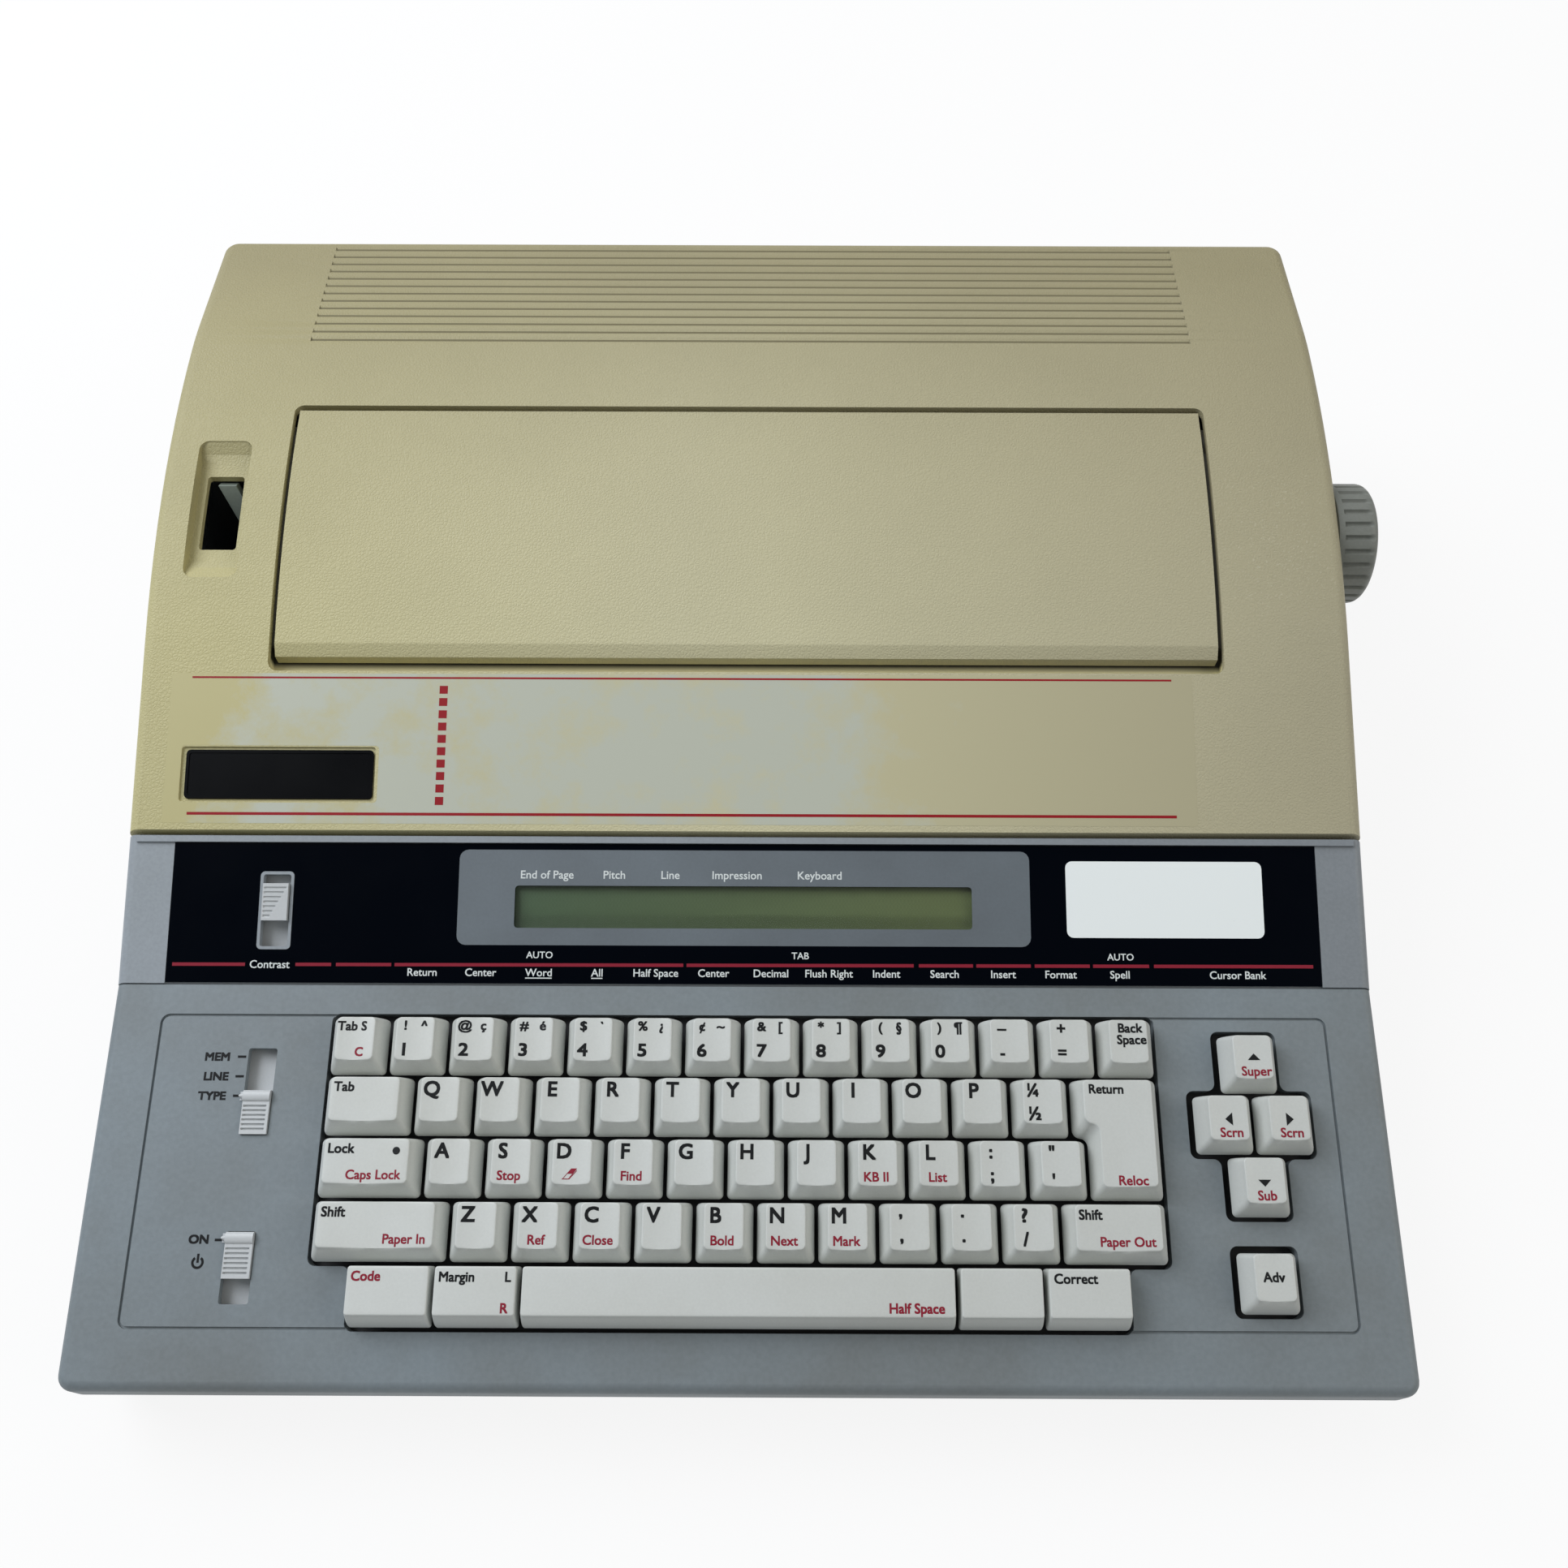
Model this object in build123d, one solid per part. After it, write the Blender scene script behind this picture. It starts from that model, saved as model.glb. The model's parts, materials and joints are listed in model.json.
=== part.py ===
"""Electronic typewriter with a flat keyboard deck, a display panel and a lidded print unit.

Everything is modelled in the case frame: x from the middle of the case, y from the front edge
of the deck towards the back, z up from the table. The parts are written with the origin at the
bottom centre of the whole machine, its paper knob included.
"""
import os
from math import cos, hypot, pi, radians, sin, sqrt, tan

from build123d import *

# Keys
KEY_PITCH = 19.05
KEY_GAP = 1.15             # gap between neighbouring caps
KEYS_TOP = 113.6           # up the deck to the back of the first row
CAP_LIFT = 1.0             # skirt's lower edge above the deck
CAP_HEIGHT = 8.0
CAP_CORNER = 1.1           # cut of the caps' upright corners
CAP_SIDE = 2.75            # how far each side leans in
CAP_FRONT = 3.9            # how far the front leans in
CAP_BACK = 0.3
CAP_DISH = 0.6
DISH_FACETS = 6
CAP_WALL = 1.3
BAR_CORNER = 0.4
BAR_SIDE = 0.3             # the bottom row's straight-sided caps
BAR_FRONT = 3.6
KEY_TRAVEL = 3.5
STEM = 5.0
STEM_FIT = 0.3
STEM_BOTTOM = -9.0
SPACE_STEM_OFFSET = 50.8
BLOCK_UNITS = 14.0
CURSOR_UNIT = 15.06
WELL_SIDE = 1.6
WELL_BACK = 2.1
WELL_FRONT = 1.3
WELL_RADIUS = 2.5
WELL_DEPTH = 5.0           # deck surface down to the key frame
FRAME_THICK = 1.8
FRAME_EDGE = 6.0
CIRCUIT_GAP = 0.5          # pressed stem to the circuit
PILLAR = 4.0

# Case
SIDE_MARGIN = 25.382       # cursor block to the side of the case
DECK_DEPTH = 122.5         # y where the deck ends and the display panel begins
PANEL_DEPTH = 47.0
COVER_GAP = 1.2            # dark gap between the panel and the cover
COVER_DEPTH = 241.3
WALL = 2.6                 # wall of the case mouldings
SEAM_GAP = 0.3             # visible gap between mouldings
DECK_SLOPE = 9.3           # degrees, keyboard deck and all the seams along the sides
DECK_FRONT_Z = 40.6        # height of the deck's front edge
CASE_SEAM_DROP = 11.0      # deck plane down to the seam of the lower case
COVER_SEAM_DROP = 2.4      # deck plane down to the lower edge of the top cover
NOSE_SET = 3.0             # how far the front face leans back below the seam
STEP_Z = 9.5               # height where the side walls step in to the base
UNDERCUT_START = 181.0     # y where that step begins to climb
FRONT_CORNER = 5.0         # plan radius of the front corners
REAR_CORNER = 6.0          # plan radius of the rear corners
EDGE_ROUND = 3.5           # rounding of the deck's outer edges
COVER_ROUND = 4.5          # rounding of the cover's outer edges
BORDER_MARGIN = 16.8       # engraved border to the side of the case
BORDER_LOW = 17.5          # border's lower edge, up the deck
BORDER_HIGH = 114.4
BORDER_WIDTH = 0.8
BORDER_RADIUS = 3.0

# Base pan and feet
BASE_INSET = 7.0
BASE_REAR_INSET = 3.0
BASE_FRONT = 16.0
BASE_CORNER = 4.0
FOOT_HEIGHT = 3.0
FOOT_RADIUS = 9.0
FOOT_SET = 20.0            # foot centre to the edge of the base
VENT_COUNT = 14
VENT_PITCH = 8.0
VENT_WIDTH = 3.4
VENT_HEIGHT = 26.0
VENT_MARGIN = 77.5         # first rear vent to the side of the case
VENT_ABOVE_STEP = 12.0
BOSS_RADIUS = 4.0
BOSS_SET = 8.0             # boss centre to the outside of the case
REAR_LAP = 2.0             # flanges of the rear panel ahead of its bosses
CORD_X = 150.0
CORD_ABOVE_STEP = 24.0
CORD_BORE = 3.6
GLAND_RADIUS = 7.0
GLAND_FLANGE = 10.0

# Display panel
PANEL_SLOPE = 18.5
PANEL_RISE = 0.4           # step up from the deck to the panel
BEZEL_WALL = 2.4
RIB_WIDTH = 2.3
RIB_RISE = 0.9
OVERLAY_MARGIN = 16.6
OVERLAY_THICK = 0.9
OVERLAY_FIT = 0.2
WINDOW_HALF = 76.4
WINDOW_START = 18.4        # up the panel from its front edge
WINDOW_LENGTH = 14.6
LENS_EDGE = 2.4            # lens beyond the window on every side
LENS_THICK = 1.4
LENS_FIT = 0.15
MODULE_EDGE = 6.0
MODULE_THICK = 3.6
BOARD_THICK = 1.6

# Top cover
COVER_STEP = 1.4
COVER_SLOPE = 19.0
COVER_STRAIGHT = 61.3      # depth of the straight front slope before the crest arc
CREST_MARGIN = 62.0        # crest to the rear
REAR_SLOPE = 5.8
REAR_RADIUS = 140.0
GROOVE_PITCH = 4.4
GROOVE_BEHIND_LID = 33.9
GROOVE_MARGIN = 5.7        # last groove to the rear
GROOVE_SIDE = 1.2          # grooves beyond the lid on each side
GROOVE_WIDTH = 2.4
GROOVE_DEPTH = 0.9
BADGE_MARGIN = 49.8        # badge centre to the side of the case
BADGE_BACK = 17.95         # cover's front edge to the badge centre
BADGE_SIZE = (65.6, 17.7)
BADGE_DEPTH = 0.8

# Lid over the print unit
LID_HALF = 161.5
LID_BACK = 57.2            # cover's front edge to the lid's
LID_DEPTH = 91.6
LID_WALL = 2.4
LID_FOLD = 3.5             # sloped front edge of the lid
LID_FOLD_DROP = 1.5
LID_LIP = 5.0              # depth of the turned-down front lip
LID_SIDE_GAP = 1.9
LID_REAR_GAP = 2.3
LID_SEAT_GAP = 0.3
GRIP_WIDTH = 5.4           # finger channel in front of the lid
GRIP_DEPTH = 6.6
LEDGE = 5.0                # width of the ledge that the lid rests on
LEDGE_THICK = 2.4
HINGE_BACK = 10.0          # hinge axis to the rear edge of the lid
HINGE_DROP = 5.9           # hinge axis below the lid's outer surface
PIN_RADIUS = 2.0
RUN_FIT = 0.06             # radial clearance of turning and sliding fits
EAR_RADIUS = 4.0
EAR_WIDTH = 4.0
EAR_PLAY = 0.6
BRACKET_PLAY = 0.4         # hinge bracket of the cover to the lid's side
SEAT_FIT = 0.05            # pieces seated under the cover's shell

# Sliders: slot start and length up the slope, knob start
SLIDER_MARGIN = 22.55      # slider centre to the key block
SLOT_WIDTH = 9.2
MODE_SLOT = (75.7, 27.5)
MODE_KNOB = 75.9
POWER_SLOT = (24.8, 21.5)
POWER_KNOB = 32.3
CONTRAST_SLOT = (12.5, 23.9)
CONTRAST_KNOB = 21.0
KNOB_LENGTH = 13.8
CONTRAST_KNOB_LENGTH = 12.3
KNOB_PLAY = 0.25
KNOB_RISE = 1.9
KNOB_FLANGE = 1.5
SWITCH_WALL = 1.4
RIM_WIDTH = 1.0

# Print unit
PLATEN_BACK = 114.3        # cover's front edge to the platen axis
PLATEN_ABOVE = 8.907       # platen axis above the cover's front edge
PLATEN_RADIUS = 16.0
PLATEN_END = 5.0           # platen end to the side plate
SHAFT_RADIUS = 4.0
SHAFT_HOLE = 6.5           # clearance hole in the case for the platen shaft
FRAME_MARGIN = 36.5        # side plate's inner face to the side of the case
PLATE = 2.0
PLATE_RISE = 12.5          # top of the side plates above the platen axis
PLATE_TOP_HALF = 22.0
FRONT_PLATE_DROP = 13.5    # top of the front plate below the platen axis
KNOB_RADIUS = 21.5
KNOB_LENGTH_X = 14.8
KNOB_SIDE_GAP = 0.7
KNOB_ROUND = 3.0
KNOB_GROOVES = 28
KNOB_STEPS = 3             # flats across the rounding
GEAR_TEETH = 40
PINION_TEETH = 12
MODULE = 1.0
GEAR_WIDTH = 6.0
GEAR_BACKLASH = 0.25
MOTOR_RADIUS = 17.0
MOTOR_LENGTH = 17.0
MOTOR_LUG = 8.0
FEED_RADIUS = 6.0
FEED_SHAFT = 3.0
FEED_ANGLE = 30.0          # degrees either side of straight down
FEED_COUNT = 4
FEED_LENGTH = 30.0
TOUCH_GAP = 0.3            # rollers to the platen
BAIL_ROD = 1.5
BAIL_ROLLER = 3.5
BAIL_ROLLER_LENGTH = 14.0
BAIL_SPACING = 90.0
BAIL_ANGLE = 60.0
BAIL_ARM = 5.0
CHUTE_GAP = 3.0
CHUTE_THICK = 1.2
CHUTE_ARC = (-28.0, 32.0)  # degrees above level, behind the platen

# Paper release lever and its pocket
POCKET_MARGIN = 21.65      # pocket centre to the side of the case
POCKET_WIDTH = 18.7
POCKET_LENGTH = 52.0
POCKET_AHEAD = 30.7        # pocket's front edge ahead of the platen axis
POCKET_DEPTH = 4.2
POCKET_RADIUS = 3.3
POCKET_SLOPES = (8.2, 6.1)  # front and rear ramps
SLOT_SIDE = 2.85            # pocket wall to the lever slot
SLOT_AHEAD = 18.2
SLOT_LENGTH = 28.2
LEVER_TIP_WIDTH = 6.4
LEVER_THICK = 3.0
LEVER_LENGTH = 52.8
LEVER_LEAN = 29.5           # degrees behind upright at rest
LEVER_SIDE = 9.0            # sideways offset of the tip from the hub
LEVER_HUB = 5.5
LEVER_HUB_WIDTH = 6.0
LEVER_PIN = 2.5

# Carriage
LOW_ROD = 5.0
HIGH_ROD = 4.0
BUSH_WALL = 3.0
CARRIAGE_HALF = 48.0
CHEEK = 2.0
WHEEL_RADIUS = 34.0
WHEEL_THICK = 1.4
WHEEL_GAP = 3.6            # wheel's rear face to the platen
PETALS = 32
HAMMER_TRAVEL = 3.0
CAN_RADIUS = 6.0           # hammer coil
CASSETTE_HALF = 52.0
CASSETTE_DEPTH = 21.0
CASSETTE_HEIGHT = 16.9
PULLEY_RADIUS = 8.0
PULLEY_END = 26.0          # pulley centre to the side plate
BELT_WIDTH = 6.0
BELT_THICK = 1.2

# Boards
BOARD_X = (-160.0, 70.0)
BOARD_Z = 34.0
BOARD_UNDER = 30.0         # board's front edge ahead of the side plates' rear edge
BOARD_CLEAR = 11.4         # board to the rear wall of the base pan
TRANSFORMER_X = 125.0
TRANSFORMER_BACK = 50.0
CORE = (56.0, 24.0, 46.0)
COIL = (40.0, 44.0, 28.0)

# Places that follow from the sizes above
HALF = (CURSOR_UNIT + 1.5 - BLOCK_UNITS / 2) * KEY_PITCH + SIDE_MARGIN
PANEL_END = DECK_DEPTH + PANEL_DEPTH
COVER_START = PANEL_END + COVER_GAP
CASE_DEPTH = COVER_START + COVER_DEPTH
COVER_BEND = COVER_START + COVER_STRAIGHT
CREST = CASE_DEPTH - CREST_MARGIN
FLOOR_Z = FOOT_HEIGHT + WALL
TAN_DECK = tan(radians(DECK_SLOPE))
KNOB_REACH = KNOB_SIDE_GAP + KNOB_LENGTH_X
SLIDER_X = -BLOCK_UNITS / 2 * KEY_PITCH - SLIDER_MARGIN
OVERLAY_HALF = HALF - OVERLAY_MARGIN
LID_FRONT = COVER_START + LID_BACK
LID_REAR = LID_FRONT + LID_DEPTH
LID_AXIS_Y = LID_REAR - HINGE_BACK
FRAME_X = HALF - FRAME_MARGIN
PLATEN_HALF = FRAME_X - PLATEN_END
POCKET_X = -HALF + POCKET_MARGIN

def deck_z(y):
    """Height of the deck plane, which every side seam runs parallel to."""
    return DECK_FRONT_Z + y * TAN_DECK


def seam_z(y):
    return deck_z(y) - CASE_SEAM_DROP


def cover_seam_z(y):
    return deck_z(y) - COVER_SEAM_DROP


def under_z(y):
    """Height of the step between the side wall and the narrower base."""
    return STEP_Z + max(0.0, y - UNDERCUT_START) * TAN_DECK


PANEL_Z = deck_z(DECK_DEPTH) + PANEL_RISE


def panel_z(y):
    return PANEL_Z + (y - DECK_DEPTH) * tan(radians(PANEL_SLOPE))


SLOPE_A = radians(COVER_SLOPE)
COVER_FRONT_Z = panel_z(COVER_START) + COVER_STEP
CREST_RADIUS = (CREST - COVER_BEND) / sin(SLOPE_A)
BEND_Z = COVER_FRONT_Z + (COVER_BEND - COVER_START) * tan(SLOPE_A)
CREST_CENTRE_Z = BEND_Z - CREST_RADIUS * cos(SLOPE_A)
CREST_Z = CREST_CENTRE_Z + CREST_RADIUS
REAR_A = radians(REAR_SLOPE)

# The print unit hangs together from the platen axis, in (y, z)
PLATEN_Y = COVER_START + PLATEN_BACK
PLATEN_Z = COVER_FRONT_Z + PLATEN_ABOVE
PLATEN_AXIS = (PLATEN_Y, PLATEN_Z)
PLATE_TOP = PLATEN_Z + PLATE_RISE
CHASSIS_FRONT = PLATEN_Y - 93.0
CHASSIS_REAR = PLATEN_Y + 55.0
BAIL_PIVOT = (PLATEN_Y - 23.0, PLATEN_Z - 37.5)
LEVER_PIVOT = (PLATEN_Y - 17.0, PLATEN_Z - 25.5)
POCKET_FRONT = PLATEN_Y - POCKET_AHEAD
SLOT_Y = (PLATEN_Y - SLOT_AHEAD, PLATEN_Y - SLOT_AHEAD + SLOT_LENGTH)
RAIL_Y = PLATEN_Y - 69.0
RAIL_LOW = (PLATEN_Z - 47.5, LOW_ROD)
RAIL_HIGH = (PLATEN_Z - 11.5, HIGH_ROD)
CARRIAGE_PLATE_Y = PLATEN_Y - 55.0
CARRIAGE_TOP = PLATEN_Z + 0.5
CAN_Y = (PLATEN_Y - 50.5, PLATEN_Y - 35.0)
CASSETTE_Y = (PLATEN_Y - 49.0, PLATEN_Y - 49.0 + CASSETTE_DEPTH)
CASSETTE_Z = (PLATEN_Z - 9.5, PLATEN_Z - 9.5 + CASSETTE_HEIGHT)
PULLEY_X = FRAME_X - PULLEY_END
PULLEY_Z = PLATEN_Z - 33.5


def surface_knots(drop):
    """The y values where the cover's section changes from line to arc to arc to line."""
    return (CREST - (CREST_RADIUS - drop) * sin(SLOPE_A), CREST,
            CREST + (REAR_RADIUS - drop) * sin(REAR_A))


def surface_z(y, drop=0.0):
    """Height of the cover's outer surface at y, or of the surface that lies drop inside it."""
    bend, crest, rear = surface_knots(drop)
    if y <= bend:
        return COVER_FRONT_Z + (y - COVER_START) * tan(SLOPE_A) - drop / cos(SLOPE_A)
    if y <= crest:
        return CREST_CENTRE_Z + sqrt((CREST_RADIUS - drop) ** 2 - (y - CREST) ** 2)
    rear_centre = CREST_Z - REAR_RADIUS
    if y <= rear:
        return rear_centre + sqrt((REAR_RADIUS - drop) ** 2 - (y - CREST) ** 2)
    return rear_centre + (REAR_RADIUS - drop) * cos(REAR_A) - (y - rear) * tan(REAR_A)


def surface_edges(y0, y1, drop=0.0):
    """Edges that follow the cover's section from y0 to y1, in (y, z)."""
    bend, _, rear = surface_knots(drop)
    stops = [y0] + [k for k in surface_knots(drop) if y0 < k < y1] + [y1]
    edges = []
    for a, b in zip(stops, stops[1:]):
        middle = (a + b) / 2
        start, end = (a, surface_z(a, drop)), (b, surface_z(b, drop))
        if bend < middle < rear:
            edges.append(ThreePointArc(start, (middle, surface_z(middle, drop)), end))
        else:
            edges.append(Line(start, end))
    return edges


def extruded(face, x0, x1):
    """Solid of a (y, z) face from x0 to x1."""
    return Pos(x0, 0, 0) * extrude(Plane.YZ.location * face, amount=x1 - x0, dir=(1, 0, 0))


def prism(points, x0, x1):
    return extruded(make_face(Polyline(*points, close=True)), x0, x1)


def under_surface(y0, y1, drop, low, x0, x1):
    """Solid from the cover's surface, lowered by drop, down to the heights low at y0 and y1."""
    top = surface_edges(y0, y1, drop)
    tail = Polyline(top[-1] @ 1, (y1, low[1]), (y0, low[0]), top[0] @ 0)
    return extruded(Face(Wire(list(top) + list(tail.edges()))), x0, x1)


def strip(y0, y1, high, low, x0, x1):
    """Layer between two depths under the cover's outer surface."""
    top = surface_edges(y0, y1, high)
    bottom = surface_edges(y0, y1, low)
    ends = [Line(top[-1] @ 1, bottom[-1] @ 1), Line(top[0] @ 0, bottom[0] @ 0)]
    return extruded(Face(Wire(list(top) + list(bottom) + ends)), x0, x1)


def block(x0, x1, y0, y1, z0, z1):
    return Pos((x0 + x1) / 2, (y0 + y1) / 2, (z0 + z1) / 2) * Box(x1 - x0, y1 - y0, z1 - z0)


def rounded(x0, x1, y0, y1, z0, z1, radius):
    """Block with rounded upright edges."""
    outline = RectangleRounded(x1 - x0, y1 - y0, radius)
    return Pos((x0 + x1) / 2, (y0 + y1) / 2, z0) * extrude(outline, amount=z1 - z0)


def rod_x(radius, x0, x1, y, z):
    return Pos((x0 + x1) / 2, y, z) * Rot(0, 90, 0) * Cylinder(radius, x1 - x0)


def rod_y(radius, y0, y1, x, z):
    return Pos(x, (y0 + y1) / 2, z) * Rot(90, 0, 0) * Cylinder(radius, y1 - y0)


def rod_z(radius, z0, z1, x, y):
    return Pos(x, y, (z0 + z1) / 2) * Cylinder(radius, z1 - z0)


def side_edges(shape, y0, y1):
    """Edges on the two sides of the case whose middle lies between y0 and y1."""
    return shape.edges().filter_by(
        lambda e: abs(abs(e.center().X) - HALF) < 0.01 and y0 <= e.center().Y <= y1
    )


DECK = Plane(origin=(0, 0, DECK_FRONT_Z), x_dir=(1, 0, 0),
             z_dir=(0, -sin(radians(DECK_SLOPE)), cos(radians(DECK_SLOPE)))).location
PANEL = Plane(origin=(0, DECK_DEPTH, PANEL_Z), x_dir=(1, 0, 0),
              z_dir=(0, -sin(radians(PANEL_SLOPE)), cos(radians(PANEL_SLOPE)))).location

# Key layout: row, first unit, width in units. Rows count from the back.
UNIT_ROWS = {
    "number_keys": (1, 0.0, 14),
    "upper_letter_keys": (2, 1.5, 11),
    "home_letter_keys": (3, 1.75, 11),
    "lower_letter_keys": (4, 2.25, 10),
}
SINGLE_KEYS = {
    "tab_key": (2, 0.0, 1.5),
    "lock_key": (3, 0.0, 1.75),
    "left_shift_key": (4, 0.0, 2.25),
    "right_shift_key": (4, 12.25, 1.75),
    "cursor_up_key": (1.25, CURSOR_UNIT, 1.0),
    "cursor_left_key": (2.25, CURSOR_UNIT - 0.5, 1.0),
    "cursor_right_key": (2.25, CURSOR_UNIT + 0.5, 1.0),
    "cursor_down_key": (3.25, CURSOR_UNIT, 1.0),
    "advance_key": (4.75, CURSOR_UNIT, 1.0),
}
BAR_KEYS = {
    "code_key": (5, 0.7, 1.4),
    "margin_key": (5, 2.1, 1.4),
    "space_bar": (5, 3.5, 7.0),
    "erase_key": (5, 10.5, 1.4),
    "correct_key": (5, 11.9, 1.4),
}
RETURN_UPPER = (2, 12.5, 1.5)
RETURN_LOWER = (3, 12.75, 1.25)


def cap_box(row, unit, width):
    """Plan of a cap on the deck: x0, x1, front y and back y."""
    x0 = (unit - BLOCK_UNITS / 2) * KEY_PITCH
    front = KEYS_TOP - row * KEY_PITCH
    return (x0 + KEY_GAP / 2, x0 + width * KEY_PITCH - KEY_GAP / 2,
            front, front + KEY_PITCH - KEY_GAP)


def cut_corners(points, cut):
    """Closed outline whose corners are cut off at the given distance."""
    outline = []
    for i, (x, y) in enumerate(points):
        for px, py in (points[i - 1], points[(i + 1) % len(points)]):
            length = hypot(px - x, py - y)
            outline.append((x + (px - x) * cut / length, y + (py - y) * cut / length))
    return make_face(Polyline(*outline, close=True))


def cap_layer(box, height, side, front, back, cut):
    """Outline of a cap at a height, drawn in from the skirt's plan."""
    x0, x1, y0, y1 = box
    x0, x1, y0, y1 = x0 + side, x1 - side, y0 + front, y1 - back
    return Pos(0, 0, height) * cut_corners([(x0, y0), (x1, y0), (x1, y1), (x0, y1)], cut)


def cap_pocket(box, side, front, back):
    """Hollow under a cap, tapered like its outside."""
    x0, x1, y0, y1 = box
    share = (CAP_HEIGHT - CAP_WALL - CAP_DISH) / CAP_HEIGHT
    layers = []
    for level, part in ((0.0, 0.0), (CAP_HEIGHT * share, share)):
        width = x1 - x0 - 2 * (CAP_WALL + side * part)
        depth = y1 - y0 - 2 * CAP_WALL - (front + back) * part
        centre = (y0 + y1 + (front - back) * part) / 2
        layers.append(Pos((x0 + x1) / 2, centre, CAP_LIFT + level) * Rectangle(width, depth))
    return loft(Sketch() + layers, ruled=True)


def stem_places(row, unit, width):
    x0, x1, y0, y1 = cap_box(row, unit, width)
    middle = ((x0 + x1) / 2, (y0 + y1) / 2)
    if width < 3:
        return [middle]
    return [(middle[0] + shift, middle[1])
            for shift in (-SPACE_STEM_OFFSET, 0, SPACE_STEM_OFFSET)]


def stem(place):
    x, y = place
    return block(x - STEM / 2, x + STEM / 2, y - STEM / 2, y + STEM / 2,
                 STEM_BOTTOM, CAP_LIFT + CAP_HEIGHT - CAP_WALL - CAP_DISH)


def dish_cut(box):
    """Hollow of a cap's top across its width, as a few flat facets."""
    top = CAP_LIFT + CAP_HEIGHT
    half = (box[1] - box[0]) / 2 - CAP_SIDE
    middle = (box[0] + box[1]) / 2
    points = [(middle - half, top + 1)]
    for i in range(DISH_FACETS + 1):
        share = 2 * i / DISH_FACETS - 1
        points.append((middle + share * half, top - CAP_DISH * (1 - share ** 2)))
    points.append((middle + half, top + 1))
    side = Plane.XZ.location * make_face(Polyline(*points, close=True))
    return Pos(0, box[3] + 1, 0) * extrude(side, amount=box[3] - box[2] + 2, dir=(0, -1, 0))


def key(row, unit, width):
    """One cap with a dished top, leaning skirts, a hollow and its stem, on the deck."""
    box = cap_box(row, unit, width)
    layers = [cap_layer(box, CAP_LIFT, 0, 0, 0, CAP_CORNER),
              cap_layer(box, CAP_LIFT + CAP_HEIGHT, CAP_SIDE, CAP_FRONT, CAP_BACK, CAP_CORNER)]
    cap = loft(Sketch() + layers, ruled=True)
    cap -= dish_cut(box)
    cap -= cap_pocket(box, CAP_SIDE, CAP_FRONT, CAP_BACK)
    for place in stem_places(row, unit, width):
        cap += stem(place)
    return DECK * cap


def bar_key(row, unit, width):
    """One of the bottom row's flat caps, with upright sides and a sloped front."""
    box = cap_box(row, unit, width)
    layers = [cap_layer(box, CAP_LIFT, 0, 0, 0, BAR_CORNER),
              cap_layer(box, CAP_LIFT + CAP_HEIGHT, BAR_SIDE, BAR_FRONT, 0, BAR_CORNER)]
    cap = loft(Sketch() + layers, ruled=True)
    cap -= cap_pocket(box, BAR_SIDE, BAR_FRONT, 0)
    for place in stem_places(row, unit, width):
        cap += stem(place)
    return DECK * cap


def return_layer(height, side, front, back, cut=CAP_CORNER):
    """Outline of the stepped cap at a height."""
    x0, x1, _, y1 = cap_box(*RETURN_UPPER)
    low_x, _, y0, _ = cap_box(*RETURN_LOWER)
    step = cap_box(*RETURN_UPPER)[2]
    points = [(x0 + side, y1 - back), (x1 - side, y1 - back), (x1 - side, y0 + front),
              (low_x + side, y0 + front), (low_x + side, step + front), (x0 + side, step + front)]
    return Pos(0, 0, height) * cut_corners(points, cut)


def return_key():
    """The stepped return cap over two rows."""
    cap = loft(Sketch() + [return_layer(CAP_LIFT, 0, 0, 0),
                           return_layer(CAP_LIFT + CAP_HEIGHT, CAP_SIDE, CAP_FRONT, CAP_BACK)],
               ruled=True)
    share = (CAP_HEIGHT - CAP_WALL) / CAP_HEIGHT
    hollow = loft(Sketch() + [
        return_layer(CAP_LIFT, CAP_WALL, CAP_WALL, CAP_WALL),
        return_layer(CAP_LIFT + CAP_HEIGHT * share, CAP_WALL + CAP_SIDE * share,
                     CAP_WALL + CAP_FRONT * share, CAP_WALL)], ruled=True)
    cap -= hollow
    for place in return_stems():
        cap += block(place[0] - STEM / 2, place[0] + STEM / 2, place[1] - STEM / 2,
                     place[1] + STEM / 2, STEM_BOTTOM, CAP_LIFT + CAP_HEIGHT * share)
    return DECK * cap


def return_stems():
    x0, x1, y0, _ = cap_box(*RETURN_LOWER)
    return [((x0 + x1) / 2, y0 + KEY_PITCH)]


def all_stems():
    places = return_stems()
    for row, unit, count in UNIT_ROWS.values():
        for i in range(count):
            places += stem_places(row, unit + i, 1.0)
    for entry in list(SINGLE_KEYS.values()) + list(BAR_KEYS.values()):
        places += stem_places(*entry)
    return places


def well_boxes():
    """Plan of every key well as x0, x1, y0, y1, around the caps with the same margins."""
    groups = [((1, 0.0, BLOCK_UNITS), (4, 0.0, BLOCK_UNITS)),
              ((5, 0.7, BLOCK_UNITS - 1.4), (4, 0.7, BLOCK_UNITS - 1.4)),
              ((1.25, CURSOR_UNIT, 1.0), (3.25, CURSOR_UNIT, 1.0)),
              ((2.25, CURSOR_UNIT - 0.5, 2.0), (2.25, CURSOR_UNIT - 0.5, 2.0)),
              ((4.75, CURSOR_UNIT, 1.0), (4.75, CURSOR_UNIT, 1.0))]
    boxes = []
    for first, last in groups:
        a, b = cap_box(*first), cap_box(*last)
        boxes.append((a[0] - WELL_SIDE, a[1] + WELL_SIDE,
                      min(a[2], b[2]) - WELL_FRONT, max(a[3], b[3]) + WELL_BACK))
    return boxes


def frame_plan():
    boxes = well_boxes()
    return (min(b[0] for b in boxes) - FRAME_EDGE, max(b[1] for b in boxes) + FRAME_EDGE,
            min(b[2] for b in boxes) - FRAME_EDGE, max(b[3] for b in boxes) + FRAME_EDGE)


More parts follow.
